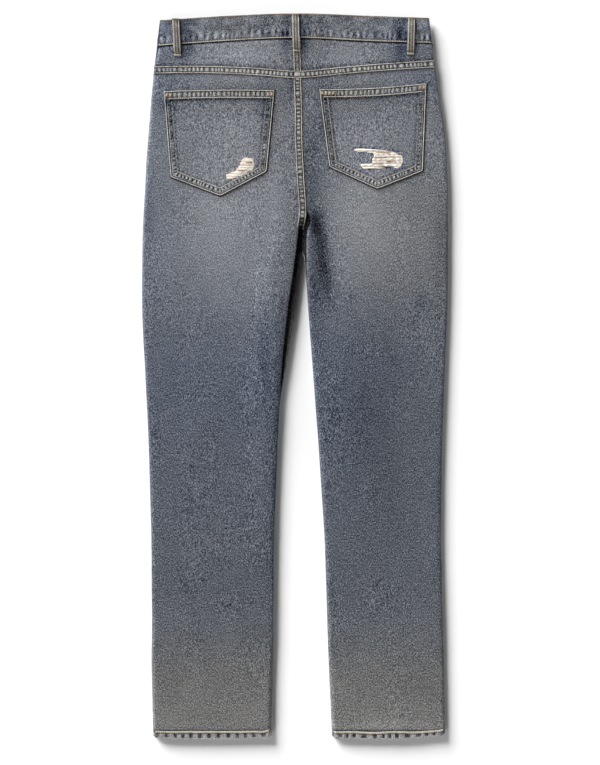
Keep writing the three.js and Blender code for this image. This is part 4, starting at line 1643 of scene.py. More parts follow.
@dataclass
class PatchPocket:
    """A five-sided patch pocket: hemmed at its mouth, its other edges folded under, and torn."""

    side: str
    garment: Garment
    seed: int
    hem: float = 12.4
    turned: float = 11.5
    cell: float = 1.2
    ditch: float = 1.1
    rise: float = DENIM_WALL + 0.3

    def __post_init__(self) -> None:
        """Reads the pocket's corners from its CAD node."""
        self.node = f"back_pocket_{self.side}"
        points = self.garment.shapes[self.node].triangles.reshape(-1, 3)[:, :2]

        def far(dx: int, dy: int) -> Array:
            """The node's farthest point one way."""
            return points[(points @ np.array((dx, dy))).argmax()]

        self.top_left, self.top_right = far(-1, 1), far(1, 1)
        self.low_left, self.tip, self.low_right = far(-1, -1), far(0, -1), far(1, -1)
        self.tear = Tear(self.garment, self.side)
        self.middle = (self.top_left + self.top_right) / 2

    def moved(self, inset: float) -> Array:
        """The pocket's corners, moved inwards, from the mouth's left one round to its right one."""
        corners = [self.top_left, self.low_left, self.tip, self.low_right, self.top_right]
        moved = []
        for k, here in enumerate(corners):
            before, after = corners[k - 1], corners[(k + 1) % 5]
            a = (here - before) / np.linalg.norm(here - before)
            b = (after - here) / np.linalg.norm(after - here)
            normals = np.array((-a[1], a[0])), np.array((-b[1], b[0]))
            bisector = normals[0] + normals[1]
            bisector /= np.linalg.norm(bisector)
            moved.append(here + bisector * inset / bisector.dot(normals[0]))
        return np.array(moved)

    def mouth(self, inset: float) -> Array:
        """The mouth's line, moved inwards and bowed a little upwards."""
        left, *_, right = self.moved(inset)
        share = np.linspace(0, 1, 24)
        line = left + (right - left) * share[:, None]
        line[:, 1] += self.bow(share)
        return line

    def bow(self, share: Array) -> Array:
        """How far the mouth bows up."""
        sag = 1.4 if self.side == "left" else -2.6
        return sag * np.sin(math.pi * share)

    def spaced(self, length: float) -> Array:
        """Values from 0 to 1 along a length in millimetres, close together at the folded edges."""
        edge = np.array([0, 0.5, 0.9, 1.3, 1.8, 2.5, 3.2]) / length
        inner = np.linspace(4.0 / length, 1 - 4.0 / length, int(length / self.cell))
        return np.concatenate([edge, inner, 1 - edge[::-1]])

    def spread(self, u: Array, v: Array) -> tuple[Array, Array]:
        """Points across the patch for shares across and along it."""
        top_left, low_left, tip, low_right, top_right = self.moved(-self.ditch)
        share = (tip[0] - low_left[0]) / (low_right[0] - low_left[0])
        to_tip = np.clip(u / share, 0, 1)
        past_tip = np.clip((u - share) / (1 - share), 0, 1)
        first = u < share
        low = [
            np.where(first, mix(low_left[k], tip[k], to_tip), mix(tip[k], low_right[k], past_tip))
            for k in (0, 1)
        ]
        high = [mix(top_left[k], top_right[k], u) for k in (0, 1)]
        x, y = mix(low[0], high[0], v), mix(low[1], high[1], v)
        return x, y + self.bow(u) * v ** 6

    def insets(self, x: Array, y: Array) -> tuple[Array, Array, Array]:
        """Distance from the mouth, distance from the nearest other edge, and distance run along it."""
        corners = [self.top_left, self.low_left, self.tip, self.low_right, self.top_right]
        gaps, runs, start = [], [], 0.0
        for here, after in zip(corners[:-1], corners[1:]):
            way = (after - here) / np.linalg.norm(after - here)
            gaps.append((x - here[0]) * -way[1] + (y - here[1]) * way[0])
            runs.append(start + (x - here[0]) * way[0] + (y - here[1]) * way[1])
            start += np.linalg.norm(after - here)
        gaps, runs = np.array(gaps), np.array(runs)
        nearest = gaps.argmin(0)
        edge, run = (np.take_along_axis(values, nearest[None], 0)[0] for values in (gaps, runs))
        width = np.linalg.norm(self.top_right - self.top_left)
        way = (self.top_right - self.top_left) / width
        dx, dy = x - self.top_left[0], y - self.top_left[1]
        share = np.clip((dx * way[0] + dy * way[1]) / width, 0, 1)
        return dx * way[1] - dy * way[0] + self.bow(share), edge, run

    def place(self, u: Array, v: Array) -> Laid:
        """Where the patch's points lie."""
        x, y = self.spread(u, v)
        mouth, edge, run = self.insets(x, y)
        near = np.minimum(mouth, edge)
        hem = SewnEdge(self.hem, Pucker(self.seed), 0.19, 0.24, 0.2, 0.55)
        fold = SewnEdge(self.turned, Pucker(self.seed + 5, 5.6), 0.1, 0.26, 0.06, 0.22, 5.2)
        on_hem = ease(mouth, self.hem + 1.4, self.hem)
        low = ease(y, self.tip[1] + 46, self.tip[1] + 34)
        height = 0.35 + (self.rise - 0.35) * ease(near, -0.3, 1.0)
        height = height + hem.relief(mouth, x) * ease(edge, -0.5, 1.0) + fold.relief(edge, run) * (1 - on_hem)
        groove = bell(edge - 2.4, 0.7) * (1 - on_hem)
        height = height + 0.2 * self.tear.closeness(x, y) - 0.35 * groove
        tone = self.garment.dye(x, y) + 0.005 + hem.shade(mouth, x) * ease(edge, 0.0, 2.0)
        tone = tone + fold.shade(edge, run) * (1 - on_hem) + 0.24 * bell(edge - 0.95, 0.75) * on_hem
        blotch = Mottle(4.5, 6.5, self.seed + 2)(x, y) + 0.5 * Mottle(2.4, 3.0, self.seed + 3)(x, y)
        within = fold.between(edge) * (1 - on_hem)
        tone = tone + within * (blotch * mix(0.15, 0.05, low) - mix(0.1, 0.06, low))
        tone = tone + within * low * 0.17 * np.clip(1.8 * fold.gathers(run), -1, 1)
        outer = ease(edge, 1.6, 2.4) * ease(edge, 5.6, 4.4) * (1 - on_hem)
        # Pale band by the fold; the groove gets painted shade as well as its dip.
        tone = tone + outer * (0.05 + 0.2 * bell(edge - 3.8, 0.7) + 0.06 * blotch) - 0.55 * groove
        # Painted shadow below the mouth's hem.
        tone = tone - 0.07 * bell(mouth - self.hem - 3.0, 3.0) * ease(edge, 0, 8)
        tone = tone + 0.05 * Pucker(self.seed + 8)(run) * bell(edge - self.turned - 3.5, 2.6) * low
        # Painted shadow round the patch's edge, heavier on its right and lower sides, away from the light.
        away_from_light = ease(x, self.tip[0] - 20, self.tip[0] + 20)
        away_from_light = np.clip(away_from_light + ease(y, self.low_left[1] + 10, self.low_left[1] - 4), 0, 1)
        away_from_light = away_from_light * ease(mouth, 0.0, 3.0)
        tone = tone - mix(0.2, 0.36, away_from_light) * (1 - ease(near, 0.0, 0.6)) + 0.1 * ease(near, -0.3, -1.0)
        # Round the tear: darker and bluer, partly painted shade under the torn edges, speckled pale with
        # frayed ends.
        closeness = np.clip(self.tear.closeness(x, y) * 2.6, 0, 1) * (1.0 if self.side == "right" else 0.3)
        speckle = np.clip(1.5 * Mottle(2.6, 1.7, self.seed + 9)(x, y), -1, 1)
        tone = tone - closeness * (0.15 - 0.2 * speckle)
        blue = self.garment.wash_and_shade.blue(x, y) + hem.tint(mouth) + 0.6 * fold.tint(edge) * (1 - on_hem)
        blue = blue + 0.1 * closeness
        return Laid(x, y, self.garment.back(x, y) + height, tone, blue)

    def build(self) -> Piece:
        """Makes the patch."""
        columns = self.spaced(np.linalg.norm(self.top_right - self.top_left))
        rows = self.spaced(self.middle[1] - self.tip[1])
        sheet = Sheet(self.node + "_cloth", "denim", columns, rows, DENIM_WALL, 1, (self.node,))
        return sheet.build(self.place, self.tear.inside, 3)

    def sew(self, stitching: Stitching) -> None:
        """Sews the mouth's hem, the double rows round the patch and the bartacks at its corners."""
        stitching.row(self.mouth(1.0), 0.8, spread=0.2)
        stitching.row(self.mouth(0.0)[1:-1] - np.array((0, self.hem - 0.8)), 0.85)
        stitching.row(rounded(self.moved(1.0), 3.0), 0.84, spread=0.16)
        inner_row = rounded(self.moved(self.turned - 0.8), 3.0)
        keep = inner_row[:, 1] < self.middle[1] - self.hem
        stitching.row(inner_row[keep], 0.62, spread=0.3, width=0.95)
        wide = 10.0 if self.side == "left" else 19.0
        for corner, sign, reach in ((self.top_left, 1, wide), (self.top_right, -1, 9.0)):
            slope = math.degrees(math.atan2(*(self.top_right - self.top_left)[::-1]))
            middle = (corner[0] + sign * (reach / 2 + 2.2), corner[1] - 6.2)
            stitching.bartack(middle, (reach, 7.6), slope, 0.14, 0.2)
            for k in range(int(reach / 4.5)):
                blob = (corner[0] + sign * (4.6 + 5.4 * k), corner[1] - 6.0)
                stitching.bartack(blob, (2.6, 4.6), slope, 0.95, 0.1)
                stitching.bartack((blob[0] + sign * 2.6, blob[1] + 1.0), (1.8, 3.4), slope, 0.0, 0.1)


def rounded(corners: Array, radius: float) -> Array:
    """A path through corners, with each inner corner turned on an arc's chord points."""
    path = [corners[0]]
    for before, here, after in zip(corners[:-2], corners[1:-1], corners[2:]):
        back, on = before - here, after - here
        a = here + back / np.linalg.norm(back) * radius
        b = here + on / np.linalg.norm(on) * radius
        for share in np.linspace(0, 1, 5):
            path.append(mix(mix(a, here, share), mix(here, b, share), share))
    path.append(corners[-1])
    return np.array(path)


@dataclass
class WeftYarns:
    """The white weft that still bridges a tear, with the frayed ends round it."""

    tear: Tear
    garment: Garment
    ground: Ground
    slits: tuple[tuple[float, float, float, int], ...]
    seed: int
    pitch: float = 0.62
    cluster: float = 4.4
    tuck: float = 1.4

    def build(self) -> Piece:
        """Makes the yarns."""
        self.bundle = Bundle(self.tear.node + "_yarns", "bare_weft", Finish.WEFT.material)
        self.unit, self.faces = unit_shape(yarn_tube)
        self.chance = chance = np.random.default_rng(self.seed)
        low, high = box_mm(self.tear.node)
        level = low.y + 0.2
        while level < high.y:
            for start, end in self.tear.runs(level):
                self._yarn(level, start, end)
            level += self.pitch * (0.82 + 0.5 * (1 - self.fullness(level)) ** 3) * chance.uniform(0.85, 1.15)
        for slit_x, slit_y, reach, count in self.slits:
            for k in range(count):
                at, half = slit_y + (k - (count - 1) / 2) * 0.5, reach * 1.2
                self._yarn(at, slit_x - half + k, slit_x + half - k, dark=True)
        for _ in range(12):
            at = chance.uniform(low.y + 2, high.y - 2)
            runs = self.tear.runs(at)
            if runs:
                start, end = runs[chance.integers(len(runs))]
                self._yarn(at, start, end, loose=True)
        self._fray()
        return self.bundle.build((self.tear.node,))

    def fullness(self, level: float) -> float:
        """How high and close the yarns lie at a place along, from 0 between two clusters to 1 in one."""
        return 0.5 + 0.5 * math.sin(level * 2 * math.pi / self.cluster + self.seed)

    def _fray(self) -> None:
        """Lays short loose ends on the cloth just outside the tear."""
        unit, faces = unit_shape(rice_grain)
        chance = self.chance
        low, high = box_mm(self.tear.node)
        for _ in range(420):
            x, y = chance.uniform(low.x - 5, high.x + 5), chance.uniform(low.y - 5, high.y + 5)
            closeness = float(self.tear.closeness(x, y))
            hit = self.ground.outside(x, y)
            if hit is None or not 0.1 < closeness < 0.42 or self.tear.inside(x, y):
                continue
            turn = chance.normal(0, 0.5)
            size = unit * np.array((chance.uniform(1.0, 2.6), 0.5, 0.4))
            across = size[:, 0] * math.cos(turn) - size[:, 1] * math.sin(turn)
            along = size[:, 0] * math.sin(turn) + size[:, 1] * math.cos(turn)
            points = np.stack([x + across, y + along, hit[0].z + 0.12 + size[:, 2]], 1)
            self.bundle.add(points, faces, float(np.clip(chance.normal(0.75, 0.2), 0, 1)))

    def _yarn(
        self, level: float, start: float, end: float, loose: bool = False, dark: bool = False
    ) -> None:
        """Lays one yarn across the tear.

        Args:
            level: its place along the garment.
            start: where the tear's left rim is.
            end: where its right rim is.
            loose: whether it sags and sways.
            dark: whether it stands for the shade seen in a slit.
        """
        unit, chance = self.unit, self.chance
        a, b = start - self.tuck * chance.uniform(0.4, 1), end + self.tuck * chance.uniform(0.4, 1)
        width = 1.08 * chance.uniform(0.85, 1.15)
        share = np.clip(unit[:, 0], 0.0, 1.0) ** chance.uniform(0.7, 1.4)
        x = mix(a, b, share)
        drift = Wander(7.0, int(chance.integers(9999)))(x + chance.uniform(0, 90))
        sway = drift * (0.4 if loose else 0.2)
        lean = chance.normal(0, 1.2) * (share - 0.5) if loose else 0.0
        parted = 0.0
        for centre_x, centre_y, reach, _ in self.slits:
            apart = level - centre_y
            push = 0.18 * math.exp(-((apart / 2.0) ** 2)) * (1 if apart > 0 else -1)
            parted = parted + push * bell(x - centre_x, reach)
        y = level + sway + lean + parted + unit[:, 1] * width
        ends = self.garment.back(np.array([a, b]), np.array([level, level])) + DENIM_WALL
        base = mix(ends[0], ends[1], share)
        arch = np.sin(math.pi * np.clip(share, 0.001, 0.999))
        depth = self.fullness(level)
        bulge = arch ** 0.5 * (0.5 if loose else 0.1) - 0.4 * (1 - arch ** 0.3) + 0.25 * depth
        z = base + bulge + unit[:, 2] * width * 0.8
        # Darker between clusters: painted shade in the gaps between bundles of yarn.
        shade = float(np.clip(0.88 - 0.4 * (1 - depth) ** 4 + chance.normal(0, 0.07), 0, 1))
        if dark:
            z, shade = z + 0.6, 0.0
        self.bundle.add(np.stack([x, y, z], 1), self.faces, shade)


# --- Belt loops ---


@dataclass
class BeltLoop:
    """A folded strap sewn across the waistband, bridging it."""

    SET = {
        "belt_loop_back_left": (1.8, 1.2),
        "belt_loop_back_centre": (1.4, 2.6),
        "belt_loop_back_right": (-0.8, 2.6),
    }

    name: str
    garment: Garment
    facing: int = 1
    step: float = 0.7
    row_inset: float = 2.9

    def __post_init__(self) -> None:
        """Reads the strap's centre line and profile from its CAD node."""
        shape = self.garment.shapes[self.name]
        low, high = box_mm(self.name)
        places = np.arange(low.y + 0.9, high.y - 0.8, self.step)
        cuts = [shape.slice(1, y) for y in places]
        middles = np.array([(cut[:, 0].min() + cut[:, 0].max()) / 2 for cut in cuts])
        self.half = float(np.median([(cut[:, 0].max() - cut[:, 0].min()) / 2 for cut in cuts]))
        tops = np.array([shape.top(x, y, self.facing > 0) for x, y in zip(middles, places)])
        aside, lower = self.SET.get(self.name, (0.0, 0.0))
        slope = np.polyfit(places, middles, 1)
        self.half *= 0.95
        self.centre = Line(places, np.polyval(slope, places) + aside)
        self.top = Line(places, softened(tops, 3.0))
        self.low, self.high = places[0] - lower, places[-1]

    def build(self) -> Piece:
        """Makes the strap."""
        half = self.half
        edge = np.array([0, 0.25, 0.6, 1.1])
        inner = np.linspace(1.7, 2 * half - 1.7, 12)
        offsets = np.concatenate([edge, inner, 2 * half - edge[::-1]]) - half
        rows = np.linspace(self.low, self.high, int((self.high - self.low) / self.step))
        name = self.name + "_cloth"
        sheet = Sheet(name, "denim", offsets, rows, 1.25, self.facing, (self.name,), Finish.STRAP)
        return sheet.build(self.place)

    def place(self, offset: Array, y: Array) -> Laid:
        """Where the strap's points lie."""
        near = self.half - np.abs(offset)
        end = np.minimum(y - self.low, self.high - y)
        slump = 0.9 * (1 - ease(near, 0, 1.1)) + 0.7 * (1 - ease(end, 0, 1.4))
        channel = 0.3 * bell(near - self.row_inset, 0.7)
        swell = 0.12 * Wander(3.2, 8)(y) + 0.15 * bell(offset, 1.6)
        gather = Pucker(len(self.name), 4.6)(y)
        x = self.centre(y) + offset
        z = self.top(y) + self.facing * (swell - slump - channel + 0.08 * gather)
        if self.facing < 0:
            z = np.maximum(z, 0.1)
        # Pale worn fold lines; painted shade in the two grooves, round the outline and at the ends.
        light = 0.22 * bell(near - 1.5, 0.8) + 0.05 * gather * bell(offset, 2.0)
        light = light - 0.36 * bell(near - 3.4, 0.8) - 0.45 * (1 - ease(near, 0.2, 0.9))
        light = light + 0.14 * bell(y - self.low - 1.6, 1.2) - 0.25 * bell(y - self.low - 5.2, 1.3)
        light = light - 0.3 * (1 - ease(end, 0.0, 0.9)) - 0.1 * bell(y - self.high, 5.0)
        tone = 0.52 + light + 0.05 * Mottle(4, 7, 3)(x, y)
        return Laid(x, y, z, tone, -0.015 - 0.05 * bell(near - 3.4, 1.2))

    def sew(self, stitching: Stitching) -> None:
        """Sews the strap's two rows and its bartacks."""
        y = np.linspace(self.low + 1.5, self.high - 1.0, 30)
        for sign in (-1, 1):
            x = self.centre(y) + sign * (self.half - self.row_inset)
            stitching.row(np.stack([x, y], 1), 0.3, pitch=2.9, width=0.75, spread=0.2)
        for y_tack, shade in ((self.high - 1.6, 0.15), (self.low + 5.2, 0.05), (self.low + 1.2, 0.85)):
            x = float(self.centre(y_tack))
            stitching.bartack((x, y_tack), (2.0, 2 * self.half - 2.6), 90, shade)


# --- Hems ---


@dataclass
class Hem:
    """A leg's turned-up hem: a rolled ring, roped by washing."""

    side: str
    garment: Garment
    seed: int
    wall: float = 2.3
    step: float = 1.1

    def __post_init__(self) -> None:
        """Reads the ring's ends from its CAD node."""
        self.name = f"hem_{self.side}"
        low, high = box_mm(self.name)
        self.low, self.high = low, high
        self.seam = (low.z + high.z) / 2 - 0.3

    def lean(self, x: Array) -> Array:
        """How far the hem's upper row departs from level."""
        share = (x - self.low.x) / (self.high.x - self.low.x)
        sag = 1.6 if self.side == "right" else 0.5
        wave = 0.7 * Wander(30.0, self.seed)(x) + 0.3 * Wander(9.0, self.seed + 2)(x)
        return sag * (2.2 * (share - 0.45) ** 2 * 2 - 0.6) + 2.4 * ease(share, 0.93, 1.0) + wave

    def slant(self, x: Array) -> Array:
        """How far the bottom edge departs from level, as it does on a pair laid down by hand."""
        share = (x - self.low.x) / (self.high.x - self.low.x)
        at_left, at_right = (1.4, 1.6) if self.side == "left" else (1.2, 5.0)
        round_off = 3.0 * (ease(share, 0.035, 0.0) + ease(share, 0.965, 1.0))
        return at_left * ease(share, 0.3, 0) + at_right * ease(share, 0.55, 1) + round_off

    def build(self) -> Piece:
        """Makes the ring."""
        around = int(2 * (self.high.x - self.low.x) / self.step)
        profile = self._profile()
        rows = len(profile) - 1
        mesh, turn, up = grid_mesh(self.name + "_cloth", around, rows)
        rise, inset, outer = profile[np.rint(up * rows).astype(int)].T
        lay(mesh, self._place(turn % 1.0, rise, inset, outer))
        ring = bmesh.new()
        ring.from_mesh(mesh)
        bmesh.ops.remove_doubles(ring, verts=ring.verts[:], dist=0.00002)
        bmesh.ops.recalc_face_normals(ring, faces=ring.faces[:])
        ring.to_mesh(mesh)
        ring.free()
        mesh.materials.append(Finish.DENIM.material)
        return new_piece(self.name + "_cloth", mesh, "worn_denim", (self.name,))

    def _profile(self) -> Array:
        """The hem's section: rise above the bottom edge, inset from the outside, and 1 on the outside."""
        height = self.high.y - self.low.y
        outside = [(height * (1 - k / 11) + 1.2 * k / 11, 0.0, 1.0) for k in range(12)]
        angles = np.linspace(0.2, 2.9, 7)
        bend = [(1.15 * (1 - math.sin(a)), self.wall / 2 * (1 - math.cos(a)), 1.0) for a in angles]
        inside = [(1.2, self.wall, 0.0), (height * 0.5, self.wall, 0.0), (height, self.wall, 0.0)]
        return np.array(outside + bend + inside + [(height, 0.0, 1.0)])

    def _place(self, turn: Array, rise: Array, inset: Array, outer: Array) -> Laid:
        """Where the ring's points lie: over the back from left to right, then under the front and back."""
        upper = turn < 0.5
        share = np.where(upper, turn * 2, 2 - turn * 2)
        arc = 0.06
        part = np.where(share < arc, share / arc, np.where(share > 1 - arc, (1 - share) / arc, 1.0))
        angle = part * math.pi / 2
        reach = (SIDE_ROLL - inset) * (1 - np.cos(angle)) + inset
        middle = np.clip((share - arc) / (1 - 2 * arc), 0, 1)
        flat = mix(self.low.x + SIDE_ROLL, self.high.x - SIDE_ROLL, middle)
        x = np.where(share < arc, self.low.x + reach, np.where(share > 1 - arc, self.high.x - reach, flat))
        up = rise / (self.high.y - self.low.y)
        y = self.low.y + rise + mix(self.slant(x), self.lean(x), up)
        skin = np.where(upper, self.garment.back(x, y), self.garment.front(x, y))
        height = np.abs(skin - self.seam) - inset
        z = self.seam + np.where(upper, 1, -1) * height * np.sin(angle)
        along = np.where(upper, x, 2 * self.high.x - x)
        rope = Pucker(self.seed, 13.5)(along)
        small = Pucker(self.seed + 3, 6.8)(along)
        swell = outer * (0.45 * rope * bell(rise - 5.0, 5.0) + 0.12 * small * bell(rise - 9, 4))
        swell = swell - outer * 0.35 * bell(rise - 11.6, 0.8)
        z = z + np.where(upper, 1, -0.0) * swell * np.sin(angle)
        y = y - outer * 0.5 * np.maximum(rope, 0) * bell(rise, 2.0)
        fade = bell((share - 0.5) / 0.62, 1.0)
        blob = np.clip(-1.9 * rope + 0.15, 0, 1) * ease(rise, 1.6, 3.4) * ease(rise, 11.0, 9.4) * fade
        tone = self.garment.wash_and_shade.tone(x, y) + outer * (0.14 * ease(rise, 11, 9) - 0.4 * blob)
        tone = tone + outer * 0.05 * small * bell(rise - 6.0, 4.0) + outer * 0.1 * bell(rise, 1.6)
        tone = tone - outer * 0.28 * bell(rise - 10.9, 0.8) + outer * 0.3 * bell(rise - 12.5, 0.9)
        blue = self.garment.wash_and_shade.blue(x, y) + outer * (0.05 * blob - 0.05 * bell(rise - 11.2, 1.2))
        return Laid(x, y, z, tone, blue)

    def sew(self, stitching: Stitching, facing: int) -> None:
        """Sews the hem's row on one side of the leg."""
        x = np.linspace(self.low.x + 4, self.high.x - 4, 50)
        y = self.high.y - 0.7 + self.lean(x)
        for below in (0.0, 1.3):
            stitching.row(np.stack([x, y - below], 1), 0.62, width=1.8, fill=1.1, spread=0.1)
        if facing > 0:
            stitching.row(np.stack([x, y - 2.7], 1), 0.0, width=0.9, spread=0.08)


# --- Button ---


@dataclass
class WaistButton:
    """The tack button under the waistband: a dished face in a raised rim."""

    node: str = "waist_button"

    def build(self) -> Piece:
        """Spins the button's section."""
        low, high = box_mm(self.node)
        centre = (low + high) / 2
        radius, height = (high.x - low.x) / 2, high.z - low.z
        section = (
            (0.0, 0.34), (0.36, 0.30), (0.62, 0.22), (0.72, 0.1), (0.8, 0.02), (0.9, 0.0), (0.97, 0.12),
            (1.0, 0.36), (0.96, 0.6), (0.86, 0.7), (0.5, 0.76), (0.46, 1.0), (0.0, 1.0),
        )
        shape = bmesh.new()
        verts = [shape.verts.new((centre.x + r * radius, centre.y, low.z + h * height)) for r, h in section]
        edges = [shape.edges.new(pair) for pair in zip(verts[:-1], verts[1:])]
        bmesh.ops.spin(
            shape, geom=verts + edges, cent=centre, axis=(0, 0, 1), angle=2 * math.pi, steps=40,
            use_merge=True,
        )
        bmesh.ops.remove_doubles(shape, verts=shape.verts[:], dist=0.02)
        bmesh.ops.scale(shape, verts=shape.verts[:], vec=(MM, MM, MM))
        bmesh.ops.recalc_face_normals(shape, faces=shape.faces[:])
        mesh = finished_mesh(shape, self.node + "_metal")
        mesh.materials.append(Finish.BUTTON.material)
        return new_piece(self.node + "_metal", mesh, "button_metal", (self.node,))


# --- Studio ---


@dataclass
class Studio:
    """The pale floor, soft light from the upper left and the camera straight above."""

    lens: float = 85.0
    sensor: float = 36.0
    field_mm: float = 1147.5
    aim_mm: tuple[float, float] = (8.25, -9.0)

    def build(self) -> None:
        """Sets up the floor, lights, camera and plain colour handling."""
        grid = bmesh.new()
        bmesh.ops.create_grid(grid, x_segments=1, y_segments=1, size=6.0)
        floor = finished_mesh(grid, "floor")
        floor.materials.append(PaperFinish().material())
        stage = bpy.data.objects.new("floor", floor)
        bpy.context.scene.collection.objects.link(stage)
        self._camera()
        self._lights()
        bpy.context.scene.view_settings.view_transform = "Standard"

    def _camera(self) -> None:
        """Puts the camera straight above the jeans."""
        data = bpy.data.cameras.new("camera")
        data.lens = self.lens
        data.sensor_width = self.sensor
        distance = self.field_mm * self.lens / self.sensor * MM
        camera = bpy.data.objects.new("camera", data)
        camera.location = (self.aim_mm[0] * MM, self.aim_mm[1] * MM, distance + 0.006)
        bpy.context.scene.collection.objects.link(camera)
        bpy.context.scene.camera = camera

    def _lights(self) -> None:
        """Adds one large low light from the upper left, two weak ones, and a little all round."""
        for name, turn, height, spread, strength in (
            ("key", 129.0, 13.5, 44.0, 12.4),
            ("right_fill", -6.0, 12.0, 26.0, 1.5),
            ("lower_fill", -120.0, 20.0, 30.0, 1.5),
        ):
            sun = bpy.data.lights.new(name, "SUN")
            sun.energy = strength
            sun.angle = math.radians(spread)
            lamp = bpy.data.objects.new(name, sun)
            flat, rise = math.radians(turn), math.radians(height)
            way = Vector((math.cos(flat) * math.cos(rise), math.sin(flat) * math.cos(rise), math.sin(rise)))
            lamp.rotation_euler = way.to_track_quat("Z", "Y").to_euler()
            bpy.context.scene.collection.objects.link(lamp)
        world = bpy.data.worlds.new("studio")
        world.use_nodes = True
        world.node_tree.nodes["Background"].inputs["Color"].default_value = (1.0, 1.0, 1.0, 1.0)
        world.node_tree.nodes["Background"].inputs["Strength"].default_value = 0.05
        bpy.context.scene.world = world


# --- Putting it together ---


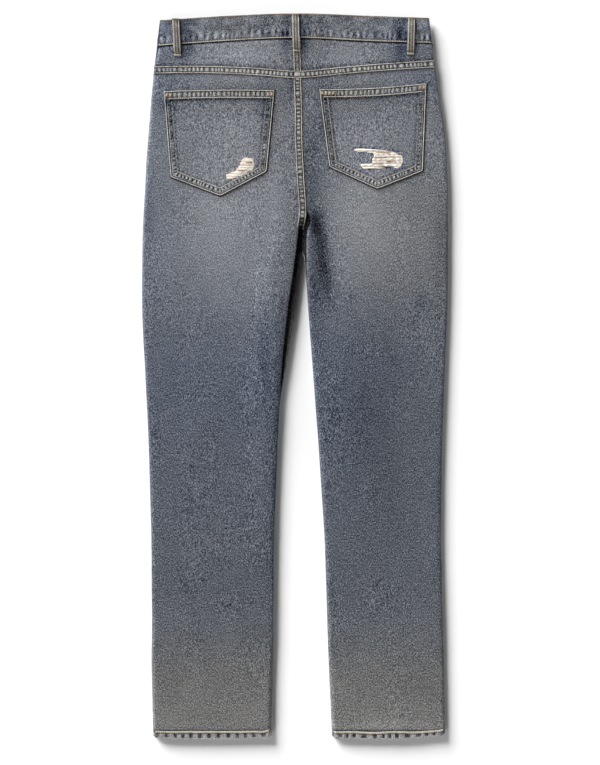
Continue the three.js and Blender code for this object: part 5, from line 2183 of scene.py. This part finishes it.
class Jeans:
    """The whole pair, built in the order a maker would."""

    def __init__(self) -> None:
        """Makes the finishes and reads the form."""
        make_finishes()
        self.garment = Garment()
        self.panels = Panels(self.garment)

    def build(self) -> None:
        """Makes every piece."""
        self.panels.build()
        self.seams = self._felled_seams()
        self.pockets = [
            PatchPocket(side, self.garment, seed)
            for side, seed in (("left", 21), ("right", 43))
        ]
        pocket_pieces = [pocket.build() for pocket in self.pockets]
        self.loops = [
            BeltLoop(name, self.garment, 1 if "back" in name else -1)
            for name in sorted(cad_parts) if name.startswith("belt_loop")
        ]
        loop_pieces = {loop.name: loop.build() for loop in self.loops}
        self.hems = [Hem("left", self.garment, 91), Hem("right", self.garment, 97)]
        hem_pieces = [hem.build() for hem in self.hems]
        WaistButton().build()
        self._yarns(pocket_pieces)
        pieces = self.panels.pieces
        back = Ground(
            *(pieces[name] for name in Garment.BACK_NODES), *self.seam_pieces, *pocket_pieces, *hem_pieces,
            *(piece for name, piece in loop_pieces.items() if "back" in name),
        )
        front = Ground(
            *(pieces[name] for name in Garment.FRONT_NODES if "facing" not in name), *hem_pieces,
            *(piece for name, piece in loop_pieces.items() if "front" in name),
        )
        stitches = self._sew_back(back)
        front_stitches = self._sew_front(front)
        self._declare(pocket_pieces, hem_pieces, stitches, front_stitches)

    def _felled_seams(self) -> list[FelledSeam]:
        """The centre back seam, in panel and yoke, and the seam under each yoke."""
        garment = self.garment
        left = side_lines(garment.shapes["back_left"], *(corner.y for corner in box_mm("back_left")))[1]
        low, high = garment.crotch - 7, float(garment.yoke_seam(6.0))
        y = np.linspace(low, high - 11.0, 80)
        centre = np.stack([left(y) + 0.2, y], 1)
        yoke = np.linspace(high - 0.5, float(garment.waist_seam(3.0)) + 0.5, 20)
        in_yoke = np.stack([np.interp(yoke, (yoke[0], yoke[-1]), (4.6, 3.2)), yoke], 1)
        seams = [
            FelledSeam("centre_back_fell", "denim", garment, centre, seed=3, contrast=0.17, dives=True),
            FelledSeam(
                "centre_yoke_fell", "worn_denim", garment, in_yoke, 11.0, seed=9, contrast=0.07, lean=-1.0,
            ),
        ]
        half = FELL_WIDTH / 2
        for side, start, end in (("left", -210.4, 4.6), ("right", 4.6, 209.6)):
            x = np.linspace(start, end, 80)
            path = np.stack([x, garment.yoke_seam(x) - half + 0.4], 1)
            seams.append(FelledSeam(f"yoke_fell_{side}", "denim", garment, path, seed=len(side) * 7))
        self.seam_pieces = [seam.build() for seam in seams]
        return seams

    def _yarns(self, pocket_pieces: Sequence[Piece]) -> None:
        """The white weft in the two tears, with the loose ends on the pockets round them."""
        slits = {
            "left": ((-67.8, 320.0, 3.6, 2), (-80.4, 308.0, 3.4, 2)),
            "right": (
                (141.7, 322.4, 3.6, 4), (129.0, 327.8, 7.0, 1),
                (124.5, 318.4, 7.0, 2), (133.0, 336.0, 9.0, 1),
            ),
        }
        self.yarn_pieces = {}
        for pocket, piece, seed in zip(self.pockets, pocket_pieces, (5, 8)):
            yarns = WeftYarns(pocket.tear, self.garment, Ground(piece), slits[pocket.side], seed)
            self.yarn_pieces[pocket.side] = yarns.build()

    def _sew_back(self, ground: Ground) -> Piece:
        """Sews everything on the back."""
        stitching = Stitching("back_stitches", ground)
        for seam in self.seams:
            for row in seam.rows():
                stitching.row(row, 0.66, spread=0.24)
        for pocket in self.pockets:
            pocket.sew(stitching)
        garment = self.garment
        loops = sorted(float(loop.centre(loop.low + 8)) for loop in self.loops if loop.facing > 0)
        half = self.loops[0].half
        starts = [-203.5] + [x + half for x in loops]
        ends = [x - half for x in loops] + [204.0]
        for start, end in zip(starts, ends):
            x = np.linspace(start, end, 50)
            stitching.row(np.stack([x, garment.waist_seam(x) + 1.1], 1), 0.86)
            stitching.row(np.stack([x, garment.waist_seam(x) + 2.7], 1), 0.05, width=0.85, fill=0.72)
        knot = float(garment.yoke_seam(4.6)) - FELL_WIDTH / 2 + 0.4
        stitching.bartack((4.4, knot), (8.0, 6.4), 0, 0.9, 0.2)
        x = np.linspace(-199.0, 199.5, 120)
        stitching.row(np.stack([x, garment.waist_top(x) - 1.6], 1), 0.14, width=0.9)
        for loop in self.loops:
            if loop.facing > 0:
                loop.sew(stitching)
        for hem in self.hems:
            hem.sew(stitching, 1)
        return stitching.build()

    def _sew_front(self, ground: Ground) -> Piece:
        """Sews the hidden front: pocket mouths, fly, crotch seam, waistband, loops and hems."""
        stitching = Stitching("front_stitches", ground, -1)
        garment = self.garment
        for side in ("left", "right"):
            scoop = Scoop(garment, side)
            for out in (1.6, 8.0):
                stitching.row(scoop.rim(out), 0.75)
            band = self.panels.panels[f"waistband_front_{side}"]
            x = np.linspace(band.left(480.0) + 3, band.right(480.0) - 3, 90)
            stitching.row(np.stack([x, band.bottom(x) + 2.4], 1), 0.8)
            stitching.row(np.stack([x, band.top(x) - 2.0], 1), 0.75)
        fly_top, fly_bend = 462, 340
        y = np.linspace(garment.crotch + 6, fly_top, 60)
        middle = self.panels.panels["front_left"].right(y)
        for out in (1.8, 8.0):
            stitching.row(np.stack([middle + out, y], 1)[:30], 0.75)
        turn = np.linspace(0, math.pi / 2, 14)
        for out in (36.0, 30.0):
            down = np.linspace(fly_top, fly_bend, 30)
            straight = np.stack([np.full(30, float(middle.mean()) - out), down], 1)
            curve = np.stack([middle.mean() - out * np.cos(turn), fly_bend - (out + 16) * np.sin(turn)], 1)
            stitching.row(np.concatenate([straight, curve]), 0.78)
        for loop in self.loops:
            if loop.facing < 0:
                loop.sew(stitching)
        for hem in self.hems:
            hem.sew(stitching, -1)
        return stitching.build()

    def _declare(
        self,
        pocket_pieces: list[Piece],
        hem_pieces: list[Piece],
        stitches: Piece,
        front_stitches: Piece,
    ) -> None:
        """Works out each sheet of cloth's cut size, area and what it rests on, and keeps none of it."""
        extras = {
            "back_left": [stitches, self.seam_pieces[0], self.seam_pieces[2]],
            "back_right": [self.seam_pieces[3]],
            "yoke_left": [self.seam_pieces[1]],
            "front_left": [front_stitches],
        }
        for name, piece in self.panels.pieces.items():
            width, length = flat_size(name)
            points = self.garment.shapes[name].triangles
            cross = np.cross(points[:, 1] - points[:, 0], points[:, 2] - points[:, 0])[:, 2]
            area = float(np.abs(cross).sum() / 4 * MM * MM)
            front = "front_left" if "left" in name else "front_right"
            under = "floor" if name in Garment.FRONT_NODES else front
            area = min(max(area, 0.31 * width * length), width * length)
            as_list(extras.get(name, []))
        for pocket, piece in zip(self.pockets, pocket_pieces):
            width, length = flat_size(pocket.node)
        for loop in self.loops:
            size = (2 * loop.half * MM, (loop.high - loop.low) * MM)
            rest = "waistband_back" if loop.facing > 0 else "floor"
        for hem, piece in zip(self.hems, hem_pieces):
            size = (2 * (hem.high.x - hem.low.x) * MM, (hem.high.y - hem.low.y) * MM)


def main() -> None:
    """Builds the jeans and their studio."""
    logging.basicConfig(level=logging.INFO, format="%(name)s: %(message)s")
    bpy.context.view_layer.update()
    Jeans().build()
    Studio().build()


if __name__ == "__main__":
    main()
